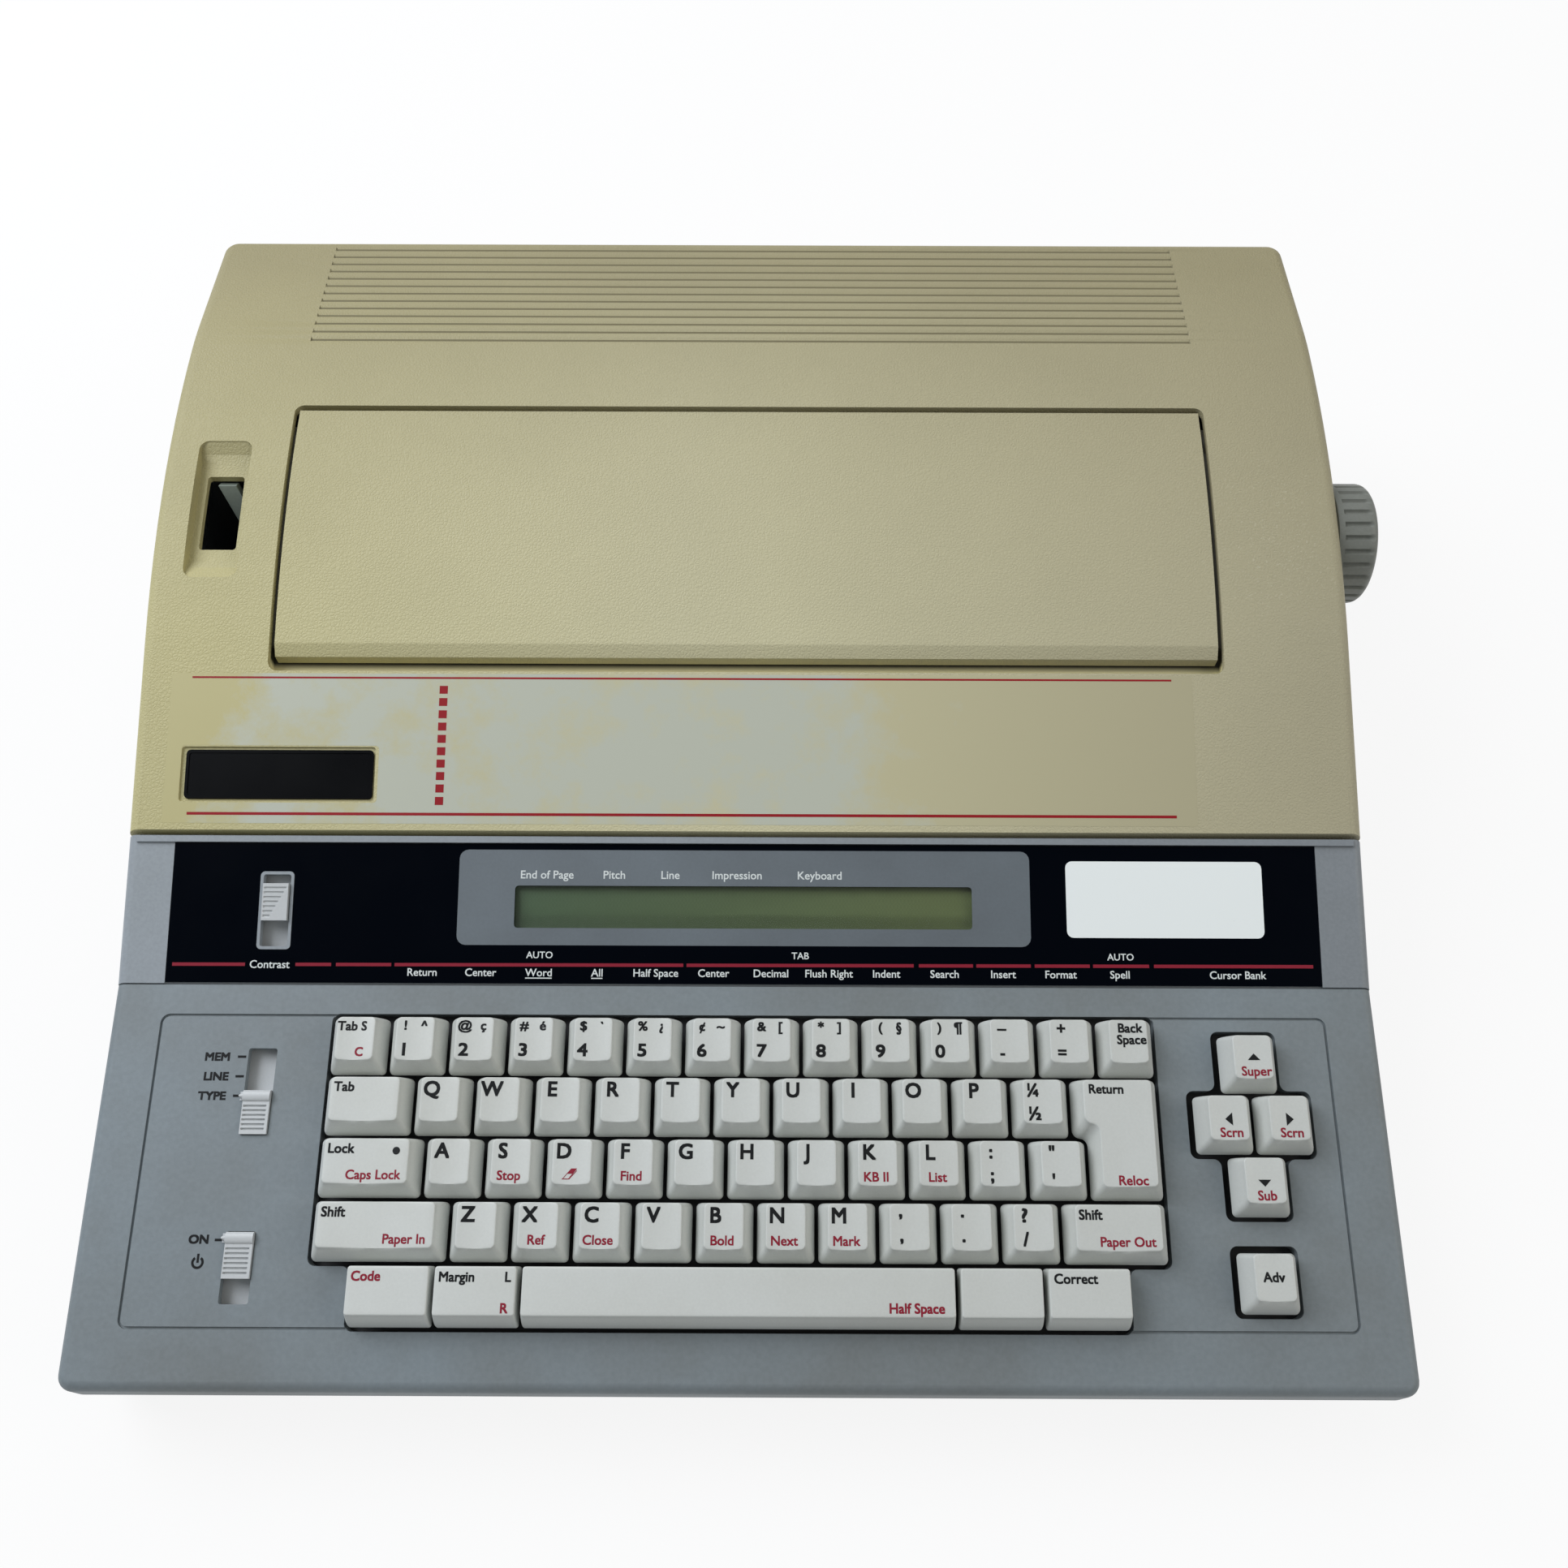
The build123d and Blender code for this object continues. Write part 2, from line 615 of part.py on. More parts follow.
def slot_cut(start, length, depth):
    """Slider slot in a panel's own frame."""
    return rounded(SLIDER_X - SLOT_WIDTH / 2, SLIDER_X + SLOT_WIDTH / 2, start, start + length,
                   -depth, 5, 0.8)


def base_pan():
    """Floor of the machine: a narrower pan under the side walls, deeper towards the back."""
    rear = CASE_DEPTH - BASE_REAR_INSET
    outer = HALF - BASE_INSET
    pan = prism([(BASE_FRONT - NOSE_SET, STEP_Z), (BASE_FRONT, FOOT_HEIGHT), (rear, FOOT_HEIGHT),
                 (rear, under_z(rear)), (UNDERCUT_START, STEP_Z)], -outer, outer)
    corners = pan.edges().filter_by(lambda e: abs(e.tangent_at(0.5).Z) > 0.8)
    pan = fillet(corners, BASE_CORNER)
    back = rear - WALL
    return pan - prism([(BASE_FRONT - NOSE_SET + WALL, STEP_Z + 1), (BASE_FRONT + WALL, FLOOR_Z),
                        (back, FLOOR_Z), (back, under_z(rear) + 1), (UNDERCUT_START, STEP_Z + 1)],
                       -outer + WALL, outer - WALL)


def lower_case():
    """Leaning walls with a ledge on the pan and screw bosses, and the vented rear panel."""
    end = CASE_DEPTH
    case = prism([(0, seam_z(0)), (NOSE_SET, STEP_Z), (UNDERCUT_START, STEP_Z),
                  (end, under_z(end)), (end, seam_z(end))], -HALF, HALF)
    case = fillet(side_edges(case, -1, NOSE_SET), FRONT_CORNER)
    case = fillet(side_edges(case, end - 0.1, end + 0.1), REAR_CORNER)
    back = end - WALL
    case -= prism([(WALL, seam_z(WALL) + WALL), (NOSE_SET + WALL, STEP_Z + WALL),
                   (UNDERCUT_START, STEP_Z + WALL), (back, under_z(back) + WALL),
                   (back, seam_z(back) + WALL)], -HALF + WALL, HALF - WALL)
    edge = HALF - BASE_INSET - 2 * WALL
    case -= block(-edge, edge, BASE_FRONT + 2 * WALL, end - BASE_REAR_INSET - 2 * WALL,
                  0, seam_z(end))
    for side in (-1, 1):
        for y in (BOSS_SET, CASE_DEPTH / 2, CASE_DEPTH - BOSS_SET):
            x = side * (HALF - BOSS_SET)
            case += rod_z(BOSS_RADIUS, under_z(y) + WALL / 2, seam_z(y - BOSS_RADIUS), x, y)
    for i in range(VENT_COUNT):
        x = -HALF + VENT_MARGIN + i * VENT_PITCH
        z = under_z(end) + VENT_ABOVE_STEP
        case -= block(x, x + VENT_WIDTH, back - 1, end + 1, z, z + VENT_HEIGHT)
    case -= rod_y(GLAND_RADIUS, back - 1, end + 1, CORD_X, gland_z())
    joint = end - BOSS_SET - BOSS_RADIUS - REAR_LAP
    ahead = block(-HALF - 1, HALF + 1, -1, joint - SEAT_FIT, 0, CREST_Z)
    behind = block(-HALF - 1, HALF + 1, joint, end + 1, 0, CREST_Z)
    return [case & ahead, case & behind]


def gland_z():
    return under_z(CASE_DEPTH) + CORD_ABOVE_STEP


def cord_gland():
    """Bush of the mains cord inlet, flush with the rear wall."""
    back = CASE_DEPTH - WALL
    bush = rod_y(GLAND_RADIUS, back - WALL, CASE_DEPTH, CORD_X, gland_z())
    bush += rod_y(GLAND_FLANGE, back - WALL, back, CORD_X, gland_z())
    return bush - rod_y(CORD_BORE, back - 2 * WALL, CASE_DEPTH + 1, CORD_X, gland_z())


def rubber_feet():
    x = HALF - BASE_INSET - FOOT_SET
    rows = (BASE_FRONT + FOOT_SET, CASE_DEPTH - BASE_REAR_INSET - FOOT_SET)
    return [rod_z(FOOT_RADIUS, 0, FOOT_HEIGHT, side * x, y) for side in (-1, 1) for y in rows]


def keyboard_housing():
    """Deck with key wells and slider slots, and the band that runs round under the cover."""
    end = CASE_DEPTH
    gap = SEAM_GAP
    low = [(end, seam_z(end) + gap), (0, seam_z(0) + gap)]
    body = prism([(0, deck_z(0)), (end, deck_z(end))] + low, -HALF, HALF)
    body = fillet(side_edges(body, -0.1, 0.1), FRONT_CORNER)
    body = fillet(side_edges(body, end - 0.1, end + 0.1), REAR_CORNER)
    rim = body.edges().filter_by(
        lambda e: e.center().Y < end - 1
        and abs(e.center().Z - deck_z(e.center().Y)) < 0.2
    )
    body = fillet(rim, EDGE_ROUND)
    body -= prism([(DECK_DEPTH, cover_seam_z(DECK_DEPTH)), (DECK_DEPTH, deck_z(end)),
                   (end + 1, deck_z(end) + 1), (end + 1, cover_seam_z(end + 1))],
                  -HALF - 1, HALF + 1)
    body -= prism([(WALL, seam_z(0) - WALL), (WALL, deck_z(WALL) - WALL),
                   (DECK_DEPTH - WALL, deck_z(DECK_DEPTH - WALL) - WALL),
                   (DECK_DEPTH + 1, deck_z(DECK_DEPTH + 1) - WALL),
                   (DECK_DEPTH + 1, seam_z(DECK_DEPTH) - WALL)], -HALF + WALL, HALF - WALL)
    back = end - WALL
    body -= prism([(DECK_DEPTH, seam_z(DECK_DEPTH) - WALL), (DECK_DEPTH, deck_z(DECK_DEPTH) + 1),
                   (back, deck_z(back)), (back, seam_z(back) - WALL)], -HALF + WALL, HALF - WALL)
    x0, x1, y0, y1 = frame_plan()
    body += DECK * block(x0, x1, y0, y1, -WELL_DEPTH, -WALL / 2)
    half, lower, upper = HALF - BORDER_MARGIN, BORDER_LOW, BORDER_HIGH
    border = rounded(-half, half, lower, upper, -BORDER_WIDTH, 1, BORDER_RADIUS)
    border -= rounded(-half + BORDER_WIDTH, half - BORDER_WIDTH, lower + BORDER_WIDTH,
                      upper - BORDER_WIDTH, -2 * BORDER_WIDTH, 2, BORDER_RADIUS - BORDER_WIDTH)
    body -= DECK * border
    wells = Part()
    for a, b, c, d in well_boxes():
        wells += block(a, b, c, d, -WELL_DEPTH - 1, 3)
    upright = wells.edges().filter_by(Axis.Z)
    body -= DECK * fillet(upright, WELL_RADIUS)
    for start, length in (MODE_SLOT, POWER_SLOT):
        body -= DECK * slot_cut(start, length, WALL + 1)
    body -= rod_x(SHAFT_HOLE, HALF - 2 * WALL, HALF + 1, *PLATEN_AXIS)
    return body


def key_frame():
    """Plate under the deck whose square holes guide every key stem."""
    x0, x1, y0, y1 = frame_plan()
    plate = block(x0, x1, y0, y1, -WELL_DEPTH - FRAME_THICK, -WELL_DEPTH)
    reach = STEM / 2 + STEM_FIT
    holes = [block(x - reach, x + reach, y - reach, y + reach,
                   -WELL_DEPTH - FRAME_THICK - 1, -WELL_DEPTH + 1) for x, y in all_stems()]
    return DECK * (plate - holes)


def keyboard_circuit():
    """Contact board under the key frame, on pillars between the stems."""
    x0, x1, y0, y1 = frame_plan()
    top = STEM_BOTTOM - KEY_TRAVEL - CIRCUIT_GAP
    board = block(x0 + FRAME_EDGE / 2, x1 - FRAME_EDGE / 2, y0 + FRAME_EDGE / 2,
                  y1 - FRAME_EDGE / 2, top - BOARD_THICK, top)
    for x in (x0 + FRAME_EDGE, 0.0, x1 - FRAME_EDGE):
        for y in (y0 + FRAME_EDGE, y1 - FRAME_EDGE):
            reach = PILLAR / 2
            board += block(x - reach, x + reach, y - reach, y + reach, top,
                           -WELL_DEPTH - FRAME_THICK)
    return DECK * board


def display_bezel():
    """Display panel moulding: end blocks, recessed front for the overlay, rib along the back."""
    y0, y1 = DECK_DEPTH + SEAM_GAP, PANEL_END
    body = prism([(y0, cover_seam_z(y0) - WALL), (y0, panel_z(y0)), (y1, panel_z(y1)),
                  (y1, cover_seam_z(y1) - WALL)], -HALF, HALF)
    edges = body.edges().filter_by(
        lambda e: abs(abs(e.center().X) - HALF) < 0.01
        and abs(e.center().Z - panel_z(e.center().Y)) < 0.1
    )
    body = fillet(edges, EDGE_ROUND)
    body -= prism([(y0 - 1, 0), (y0 - 1, cover_seam_z(y0 - 1) + SEAM_GAP),
                   (y1 + 1, cover_seam_z(y1 + 1) + SEAM_GAP), (y1 + 1, 0)],
                  -HALF - 1, HALF + 1)
    thick = BEZEL_WALL / cos(radians(PANEL_SLOPE))
    body -= prism([(y0 + BEZEL_WALL, cover_seam_z(y0) - WALL),
                   (y0 + BEZEL_WALL, panel_z(y0 + BEZEL_WALL) - thick),
                   (y1 - BEZEL_WALL, panel_z(y1 - BEZEL_WALL) - thick),
                   (y1 - BEZEL_WALL, cover_seam_z(y1 - BEZEL_WALL) - 2 * WALL)],
                  -HALF + BEZEL_WALL, HALF - BEZEL_WALL)
    length = panel_length()
    local = Part() + block(-OVERLAY_HALF - OVERLAY_FIT, OVERLAY_HALF + OVERLAY_FIT, -1,
                           length - RIB_WIDTH, -OVERLAY_THICK - 0.1, 3)
    local += block(-WINDOW_HALF - LENS_EDGE, WINDOW_HALF + LENS_EDGE, WINDOW_START - LENS_EDGE,
                   WINDOW_START + WINDOW_LENGTH + LENS_EDGE, -BEZEL_WALL - 1, 1)
    body -= PANEL * local
    rib = block(-HALF + EDGE_ROUND, HALF - EDGE_ROUND, length - RIB_WIDTH, length - 0.3,
                -0.2, RIB_RISE)
    body += PANEL * rib
    start, slot = CONTRAST_SLOT
    rim = rounded(SLIDER_X - SLOT_WIDTH / 2 - RIM_WIDTH, SLIDER_X + SLOT_WIDTH / 2 + RIM_WIDTH,
                  start - RIM_WIDTH, start + slot + RIM_WIDTH, -BEZEL_WALL, 0.2, 1.5)
    body += PANEL * rim
    return body - PANEL * slot_cut(start, slot, BEZEL_WALL + 1)


def panel_length():
    return PANEL_DEPTH / cos(radians(PANEL_SLOPE))


def display_overlay():
    """Thin front plate of the display with its window and the cut-out round the slider."""
    start, slot = CONTRAST_SLOT
    plate = block(-OVERLAY_HALF, OVERLAY_HALF, 2 * SEAM_GAP,
                  panel_length() - RIB_WIDTH - OVERLAY_FIT, -OVERLAY_THICK, 0)
    plate -= rounded(-WINDOW_HALF, WINDOW_HALF, WINDOW_START, WINDOW_START + WINDOW_LENGTH,
                     -2, 2, 1.0)
    reach = SLOT_WIDTH / 2 + RIM_WIDTH + OVERLAY_FIT / 2
    edge = RIM_WIDTH + OVERLAY_FIT / 2
    plate -= rounded(SLIDER_X - reach, SLIDER_X + reach, start - edge, start + slot + edge,
                     -2, 2, 1.5)
    return PANEL * plate


def lcd_window():
    """Clear lens in the bezel under the overlay."""
    reach = LENS_EDGE - LENS_FIT
    top = -OVERLAY_THICK - 0.1
    return PANEL * block(-WINDOW_HALF - reach, WINDOW_HALF + reach, WINDOW_START - reach,
                         WINDOW_START + WINDOW_LENGTH + reach, top - LENS_THICK, top)


def lcd_module():
    """Display glass in its frame on a small board, clamped under the bezel."""
    top = -BEZEL_WALL
    y0, y1 = WINDOW_START - MODULE_EDGE, WINDOW_START + WINDOW_LENGTH + MODULE_EDGE
    reach = WINDOW_HALF + MODULE_EDGE
    module = block(-reach, reach, y0, y1, top - MODULE_THICK, top)
    module += block(-reach - MODULE_EDGE, reach + MODULE_EDGE, y0 - 2, y1 + 2,
                    top - MODULE_THICK - BOARD_THICK, top - MODULE_THICK)
    return PANEL * module


def slider_knob(start, length, wall):
    """Ribbed slider with its flange under the panel, in the panel's frame."""
    x0, x1 = SLIDER_X - SLOT_WIDTH / 2 + KNOB_PLAY, SLIDER_X + SLOT_WIDTH / 2 - KNOB_PLAY
    knob = block(x0, x1, start, start + length, -wall - SEAM_GAP, KNOB_RISE)
    knob += block(SLIDER_X - SLOT_WIDTH * 0.7, SLIDER_X + SLOT_WIDTH * 0.7, start,
                  start + length, -wall - SEAM_GAP - KNOB_FLANGE, -wall - SEAM_GAP)
    count = 6
    for i in range(count):
        y = start + length * (i + 1) / (count + 2)
        knob -= block(x0 + 1.2, x1 + 1, y - 0.35, y + 0.35, KNOB_RISE - 0.6, KNOB_RISE + 1)
    return knob


def switch_body(start, length, wall):
    """Trough under a slot that carries the slider and hangs from the panel."""
    inner = SLOT_WIDTH * 0.7 + SEAM_GAP
    floor = -wall - 2 * SEAM_GAP - KNOB_FLANGE
    y0, y1 = start - 2, start + length + 2
    body = block(SLIDER_X - inner - SWITCH_WALL, SLIDER_X + inner + SWITCH_WALL, y0, y1,
                 floor - SWITCH_WALL, -wall)
    return body - block(SLIDER_X - inner, SLIDER_X + inner, y0 - 1, y1 + 1, floor, 0)


def slide_switches():
    """Mode switch, power switch and contrast control under their slots."""
    return [DECK * switch_body(*MODE_SLOT, WALL), DECK * switch_body(*POWER_SLOT, WALL),
            PANEL * switch_body(*CONTRAST_SLOT, BEZEL_WALL)]


def lid_axis():
    return LID_AXIS_Y, surface_z(LID_AXIS_Y) - HINGE_DROP


def plan_column(x0, x1, y0, y1, radius):
    return rounded(x0, x1, y0, y1, 0, CREST_Z + 20, radius)


def pocket_cut():
    """Scooped pocket of the release lever, sloped at both ends."""
    y0, y1 = POCKET_FRONT, POCKET_FRONT + POCKET_LENGTH
    front, rear = POCKET_SLOPES
    points = [(y0, surface_z(y0) + 3), (y0, surface_z(y0) - 0.3),
              (y0 + front, surface_z(y0 + front) - POCKET_DEPTH),
              (y1 - rear, surface_z(y1 - rear) - POCKET_DEPTH),
              (y1, surface_z(y1) - 0.3), (y1, surface_z(y1) + 3)]
    half = POCKET_WIDTH / 2
    cut = prism(points, POCKET_X - half, POCKET_X + half)
    return cut & plan_column(POCKET_X - half, POCKET_X + half, y0, y1, POCKET_RADIUS)


def top_cover():
    """Rear cover: arched shell with the lid opening, lever pocket, badge seat and grooves."""
    low = [cover_seam_z(y) + SEAM_GAP for y in (COVER_START, CASE_DEPTH)]
    cover = under_surface(COVER_START, CASE_DEPTH, 0, low, -HALF, HALF)
    cover = fillet(side_edges(cover, CASE_DEPTH - 0.1, CASE_DEPTH + 0.1), REAR_CORNER)
    rim = cover.edges().filter_by(
        lambda e: e.center().Y > COVER_START + 1
        and abs(e.center().Z - surface_z(e.center().Y)) < 0.4
        and (abs(e.center().X) > HALF - REAR_CORNER or e.center().Y > CASE_DEPTH - 1)
    )
    cover = fillet(rim, COVER_ROUND)
    cover -= under_surface(COVER_START + WALL, CASE_DEPTH - WALL, WALL,
                           [z - 2 * WALL for z in low], -HALF + WALL, HALF - WALL)

    opening = LID_HALF + LID_SIDE_GAP
    y0, y1 = LID_FRONT - GRIP_WIDTH, LID_REAR + LID_REAR_GAP
    cover += strip(y0 - WALL, y0, WALL / 2, GRIP_DEPTH, -opening - WALL, opening + WALL)
    cover -= strip(y0, y1, -3, 2 * WALL, -opening, opening) & plan_column(
        -opening, opening, y0, y1, POCKET_RADIUS)
    cover -= pocket_cut()

    width, depth = BADGE_SIZE
    x0 = -HALF + BADGE_MARGIN - width / 2
    y0 = COVER_START + BADGE_BACK - depth / 2
    x1, y1 = x0 + width, y0 + depth
    cover -= strip(y0, y1, -2, BADGE_DEPTH, x0, x1) & plan_column(x0, x1, y0, y1, 1)
    first = LID_REAR + GROOVE_BEHIND_LID
    count = int((CASE_DEPTH - GROOVE_MARGIN - first) / GROOVE_PITCH) + 1
    groove_half = LID_HALF + GROOVE_SIDE
    for i in range(count):
        y = first + i * GROOVE_PITCH
        lip = GROOVE_WIDTH / 2
        cover -= prism([(y - lip, surface_z(y - lip) + 0.02), (y, surface_z(y) - GROOVE_DEPTH),
                        (y + lip, surface_z(y + lip) + 0.02), (y, surface_z(y) + 1)],
                       -groove_half, groove_half)
    cover -= rod_x(SHAFT_HOLE, HALF - 2 * WALL, HALF + 1, *PLATEN_AXIS)
    return cover


def lid_frame():
    """Frame under the cover: floor of the finger channel, side ledges and hinge brackets."""
    seat = LID_WALL + LID_SEAT_GAP
    opening = LID_HALF + LID_SIDE_GAP
    outer = opening + WALL
    y0, y1 = LID_FRONT - GRIP_WIDTH, LID_FRONT + LEDGE
    top = WALL + SEAT_FIT
    frame = strip(y0 - WALL, y1, GRIP_DEPTH + SEAT_FIT, GRIP_DEPTH + LEDGE_THICK, -outer, outer)
    axis_y, axis_z = lid_axis()
    ends = (axis_y - EAR_RADIUS - 1, axis_y + EAR_RADIUS + 1)
    for side in (-1, 1):
        inner = side * (opening - LEDGE - 1)
        ledge = sorted((inner, side * outer))
        wall = sorted((side * opening, side * outer))
        frame += strip(y0 + SEAT_FIT, y1, top, GRIP_DEPTH + LEDGE_THICK, *wall)
        frame += strip(y1 - WALL / 2, y1, seat, GRIP_DEPTH + LEDGE_THICK, *ledge)
        frame += strip(y1 - WALL / 2, ends[0], seat, seat + LEDGE_THICK, *ledge)
        frame += strip(y1 - WALL / 2, ends[1], top, seat + LEDGE_THICK, *wall)
        bracket = sorted((side * (LID_HALF + BRACKET_PLAY), side * outer))
        frame += strip(*ends, top, HINGE_DROP + EAR_RADIUS, *bracket)
    return frame - rod_x(PIN_RADIUS + RUN_FIT, -outer - 1, outer + 1, axis_y, axis_z)


def lever_tray():
    """Tray of the scooped pocket, seated under the cover, with the release lever's slot."""
    half = POCKET_WIDTH / 2
    end = POCKET_FRONT + POCKET_LENGTH
    tray = strip(POCKET_FRONT - WALL, end + WALL, WALL + SEAT_FIT, POCKET_DEPTH + WALL,
                 POCKET_X - half - WALL, POCKET_X + half + WALL)
    tray -= pocket_cut()
    return tray - rounded(POCKET_X - half + SLOT_SIDE, POCKET_X + half - SLOT_SIDE, *SLOT_Y,
                          PLATEN_AXIS[1], CREST_Z, 1.2)


def access_lid():
    """Lid over the print unit: folded front lip, side ribs, hinge ears and pins."""
    lid = strip(LID_FRONT, LID_REAR, 0, LID_WALL, -LID_HALF, LID_HALF)
    lid += strip(LID_FRONT, LID_FRONT + LID_WALL, LID_WALL / 2, LID_LIP, -LID_HALF, LID_HALF)
    fold = LID_FRONT + LID_FOLD
    lid -= prism([(LID_FRONT - 1, surface_z(LID_FRONT) + 2), (fold, surface_z(fold) + 2),
                  (fold, surface_z(fold)), (LID_FRONT, surface_z(LID_FRONT) - LID_FOLD_DROP),
                  (LID_FRONT - 1, surface_z(LID_FRONT) - LID_FOLD_DROP)], -LID_HALF, LID_HALF)
    axis_y, axis_z = lid_axis()
    face = LID_HALF + LID_SIDE_GAP - LEDGE - 1 - EAR_PLAY
    for side in (-1, 1):
        x = sorted((side * (face - EAR_WIDTH), side * face))
        lid += strip(LID_FRONT + 2 * LEDGE, axis_y, LID_WALL / 2, LID_WALL + EAR_WIDTH, *x)
        lid += strip(axis_y - EAR_RADIUS, axis_y + EAR_RADIUS, LID_WALL / 2, HINGE_DROP, *x)
        lid += rod_x(EAR_RADIUS, *x, axis_y, axis_z)
        tip = sorted((side * (face - 1), side * (LID_HALF + LID_SIDE_GAP + WALL - EAR_PLAY)))
        lid += rod_x(PIN_RADIUS, *tip, axis_y, axis_z)
    return lid


def side_plate(x0):
    """One side plate of the print unit."""
    y, z = PLATEN_AXIS
    front_top = z - FRONT_PLATE_DROP
    points = [(CHASSIS_FRONT, FLOOR_Z), (CHASSIS_REAR, FLOOR_Z), (CHASSIS_REAR, z - 17.5),
              (y + PLATE_TOP_HALF, PLATE_TOP), (y - PLATE_TOP_HALF, PLATE_TOP),
              (y - 2 * PLATE_TOP_HALF, z), (CHASSIS_FRONT, front_top)]
    plate = prism(points, x0, x0 + PLATE)
    for (hole_y, hole_z), radius in ((PLATEN_AXIS, SHAFT_RADIUS), (BAIL_PIVOT, PIN_RADIUS),
                                     (feed_axis(-1), FEED_SHAFT), (feed_axis(1), FEED_SHAFT)):
        plate -= rod_x(radius + RUN_FIT, x0 - 1, x0 + PLATE + 1, hole_y, hole_z)
    return plate


def chassis_frame():
    """Side plates joined by a front plate, with the stub for the release lever."""
    frame = side_plate(-FRAME_X - PLATE) + side_plate(FRAME_X)
    front = block(-FRAME_X - PLATE, FRAME_X + PLATE, CHASSIS_FRONT, CHASSIS_FRONT + PLATE,
                  FLOOR_Z, PLATEN_Z - FRONT_PLATE_DROP)
    front -= rod_y(PULLEY_RADIUS / 2, CHASSIS_FRONT - 1, CHASSIS_FRONT + PLATE + 1,
                   PULLEY_X, PULLEY_Z)
    frame += front
    frame += rod_y(PIN_RADIUS, CHASSIS_FRONT + PLATE - 1, pulley_y() + BELT_WIDTH + 2,
                   -PULLEY_X, PULLEY_Z)
    frame += rod_x(LEVER_PIN, -FRAME_X - PLATE - LEVER_HUB_WIDTH - 4, -FRAME_X - PLATE + 0.5,
                   *LEVER_PIVOT)
    return frame


def feed_axis(side):
    """Centre of the front or rear feed rollers, which touch the platen from below."""
    reach = PLATEN_RADIUS + FEED_RADIUS + TOUCH_GAP
    return (PLATEN_AXIS[0] + side * reach * sin(radians(FEED_ANGLE)),
            PLATEN_AXIS[1] - reach * cos(radians(FEED_ANGLE)))


def feed_rollers(side):
    """Shaft with rubber rollers between the side plates."""
    y, z = feed_axis(side)
    shaft = rod_x(FEED_SHAFT, -FRAME_X - PLATE, FRAME_X + PLATE, y, z)
    span = 2 * PLATEN_HALF / FEED_COUNT
    for i in range(FEED_COUNT):
        x = -PLATEN_HALF + span * (i + 0.5)
        shaft += rod_x(FEED_RADIUS, x - FEED_LENGTH / 2, x + FEED_LENGTH / 2, y, z)
    return shaft


def platen_roller():
    roller = rod_x(PLATEN_RADIUS, -PLATEN_HALF, PLATEN_HALF, *PLATEN_AXIS)
    return roller - rod_x(SHAFT_RADIUS, -PLATEN_HALF - 1, PLATEN_HALF + 1, *PLATEN_AXIS)


def knob_x():
    return HALF + KNOB_SIDE_GAP


def platen_shaft():
    return rod_x(SHAFT_RADIUS, -FRAME_X - PLATE, knob_x() + KNOB_LENGTH_X / 2, *PLATEN_AXIS)


def platen_knob():
    """Cup-shaped knob with a rounded outer edge and grooves along its rim."""
    length = KNOB_LENGTH_X
    sides = 2 * KNOB_GROOVES
    steps = []
    for i in range(KNOB_STEPS + 1):
        angle = pi / 2 * i / KNOB_STEPS
        steps.append((length - KNOB_ROUND * (1 - sin(angle)),
                      KNOB_RADIUS - KNOB_ROUND * (1 - cos(angle))))
    knob = extruded(RegularPolygon(KNOB_RADIUS, sides), 0, steps[0][0])
    for lower, upper in zip(steps, steps[1:]):
        rings = [Plane.YZ.offset(x).location * RegularPolygon(radius, sides)
                 for x, radius in (lower, upper)]
        knob += loft(Sketch() + rings, ruled=True)
    hollow = RegularPolygon(KNOB_RADIUS - 2.5, KNOB_GROOVES)
    knob -= extruded(hollow - RegularPolygon(SHAFT_RADIUS + 3, KNOB_GROOVES), 0, length - 4)
    knob -= rod_x(SHAFT_RADIUS, 0, length / 2, 0, 0)
    groove = block(2.5, length - KNOB_ROUND, -0.45, 0.45, KNOB_RADIUS - 0.7, KNOB_RADIUS + 1)
    grooves = [Rot(360 / KNOB_GROOVES * (i + 0.25), 0, 0) * groove
               for i in range(KNOB_GROOVES)]
    return Pos(knob_x(), *PLATEN_AXIS) * (knob - grooves)


def gear(teeth, width, bore, phase):
    """Spur gear about x, centred on its own axis, with straight-flanked teeth."""
    pitch = MODULE * teeth / 2
    step = 2 * pi / teeth
    flanks = ((-0.29, -1.2), (-0.13, 0.9), (0.13, 0.9), (0.29, -1.2))
    points = []
    for i in range(teeth):
        for share, rise in flanks:
            angle = phase + (i + share) * step
            radius = pitch + rise * MODULE
            points.append((radius * cos(angle), radius * sin(angle)))
    wheel = extruded(make_face(Polyline(*points, close=True)), -width / 2, width / 2)
    return wheel - rod_x(bore, -width, width, 0, 0) if bore else wheel


def gear_x():
    return FRAME_X + PLATE + 2 + GEAR_WIDTH / 2


def pinion_axis():
    reach = MODULE * (GEAR_TEETH + PINION_TEETH) / 2 + GEAR_BACKLASH
    return PLATEN_AXIS[0], PLATEN_AXIS[1] - reach


def platen_gear():
    """The platen's drive gear, with a tooth gap straight down at the pinion."""
    phase = -pi / 2 + pi / GEAR_TEETH
    return Pos(gear_x(), *PLATEN_AXIS) * gear(GEAR_TEETH, GEAR_WIDTH, SHAFT_RADIUS, phase)


def feed_pinion():
    """Motor pinion, with a tooth straight up in the gear's gap, and its shaft."""
    wheel = gear(PINION_TEETH, GEAR_WIDTH, 0, pi / 2)
    end = GEAR_WIDTH / 2 + 1 + MOTOR_LENGTH / 2
    wheel += rod_x(MODULE * 1.5, 0, end, 0, 0)
    return Pos(gear_x(), *pinion_axis()) * wheel


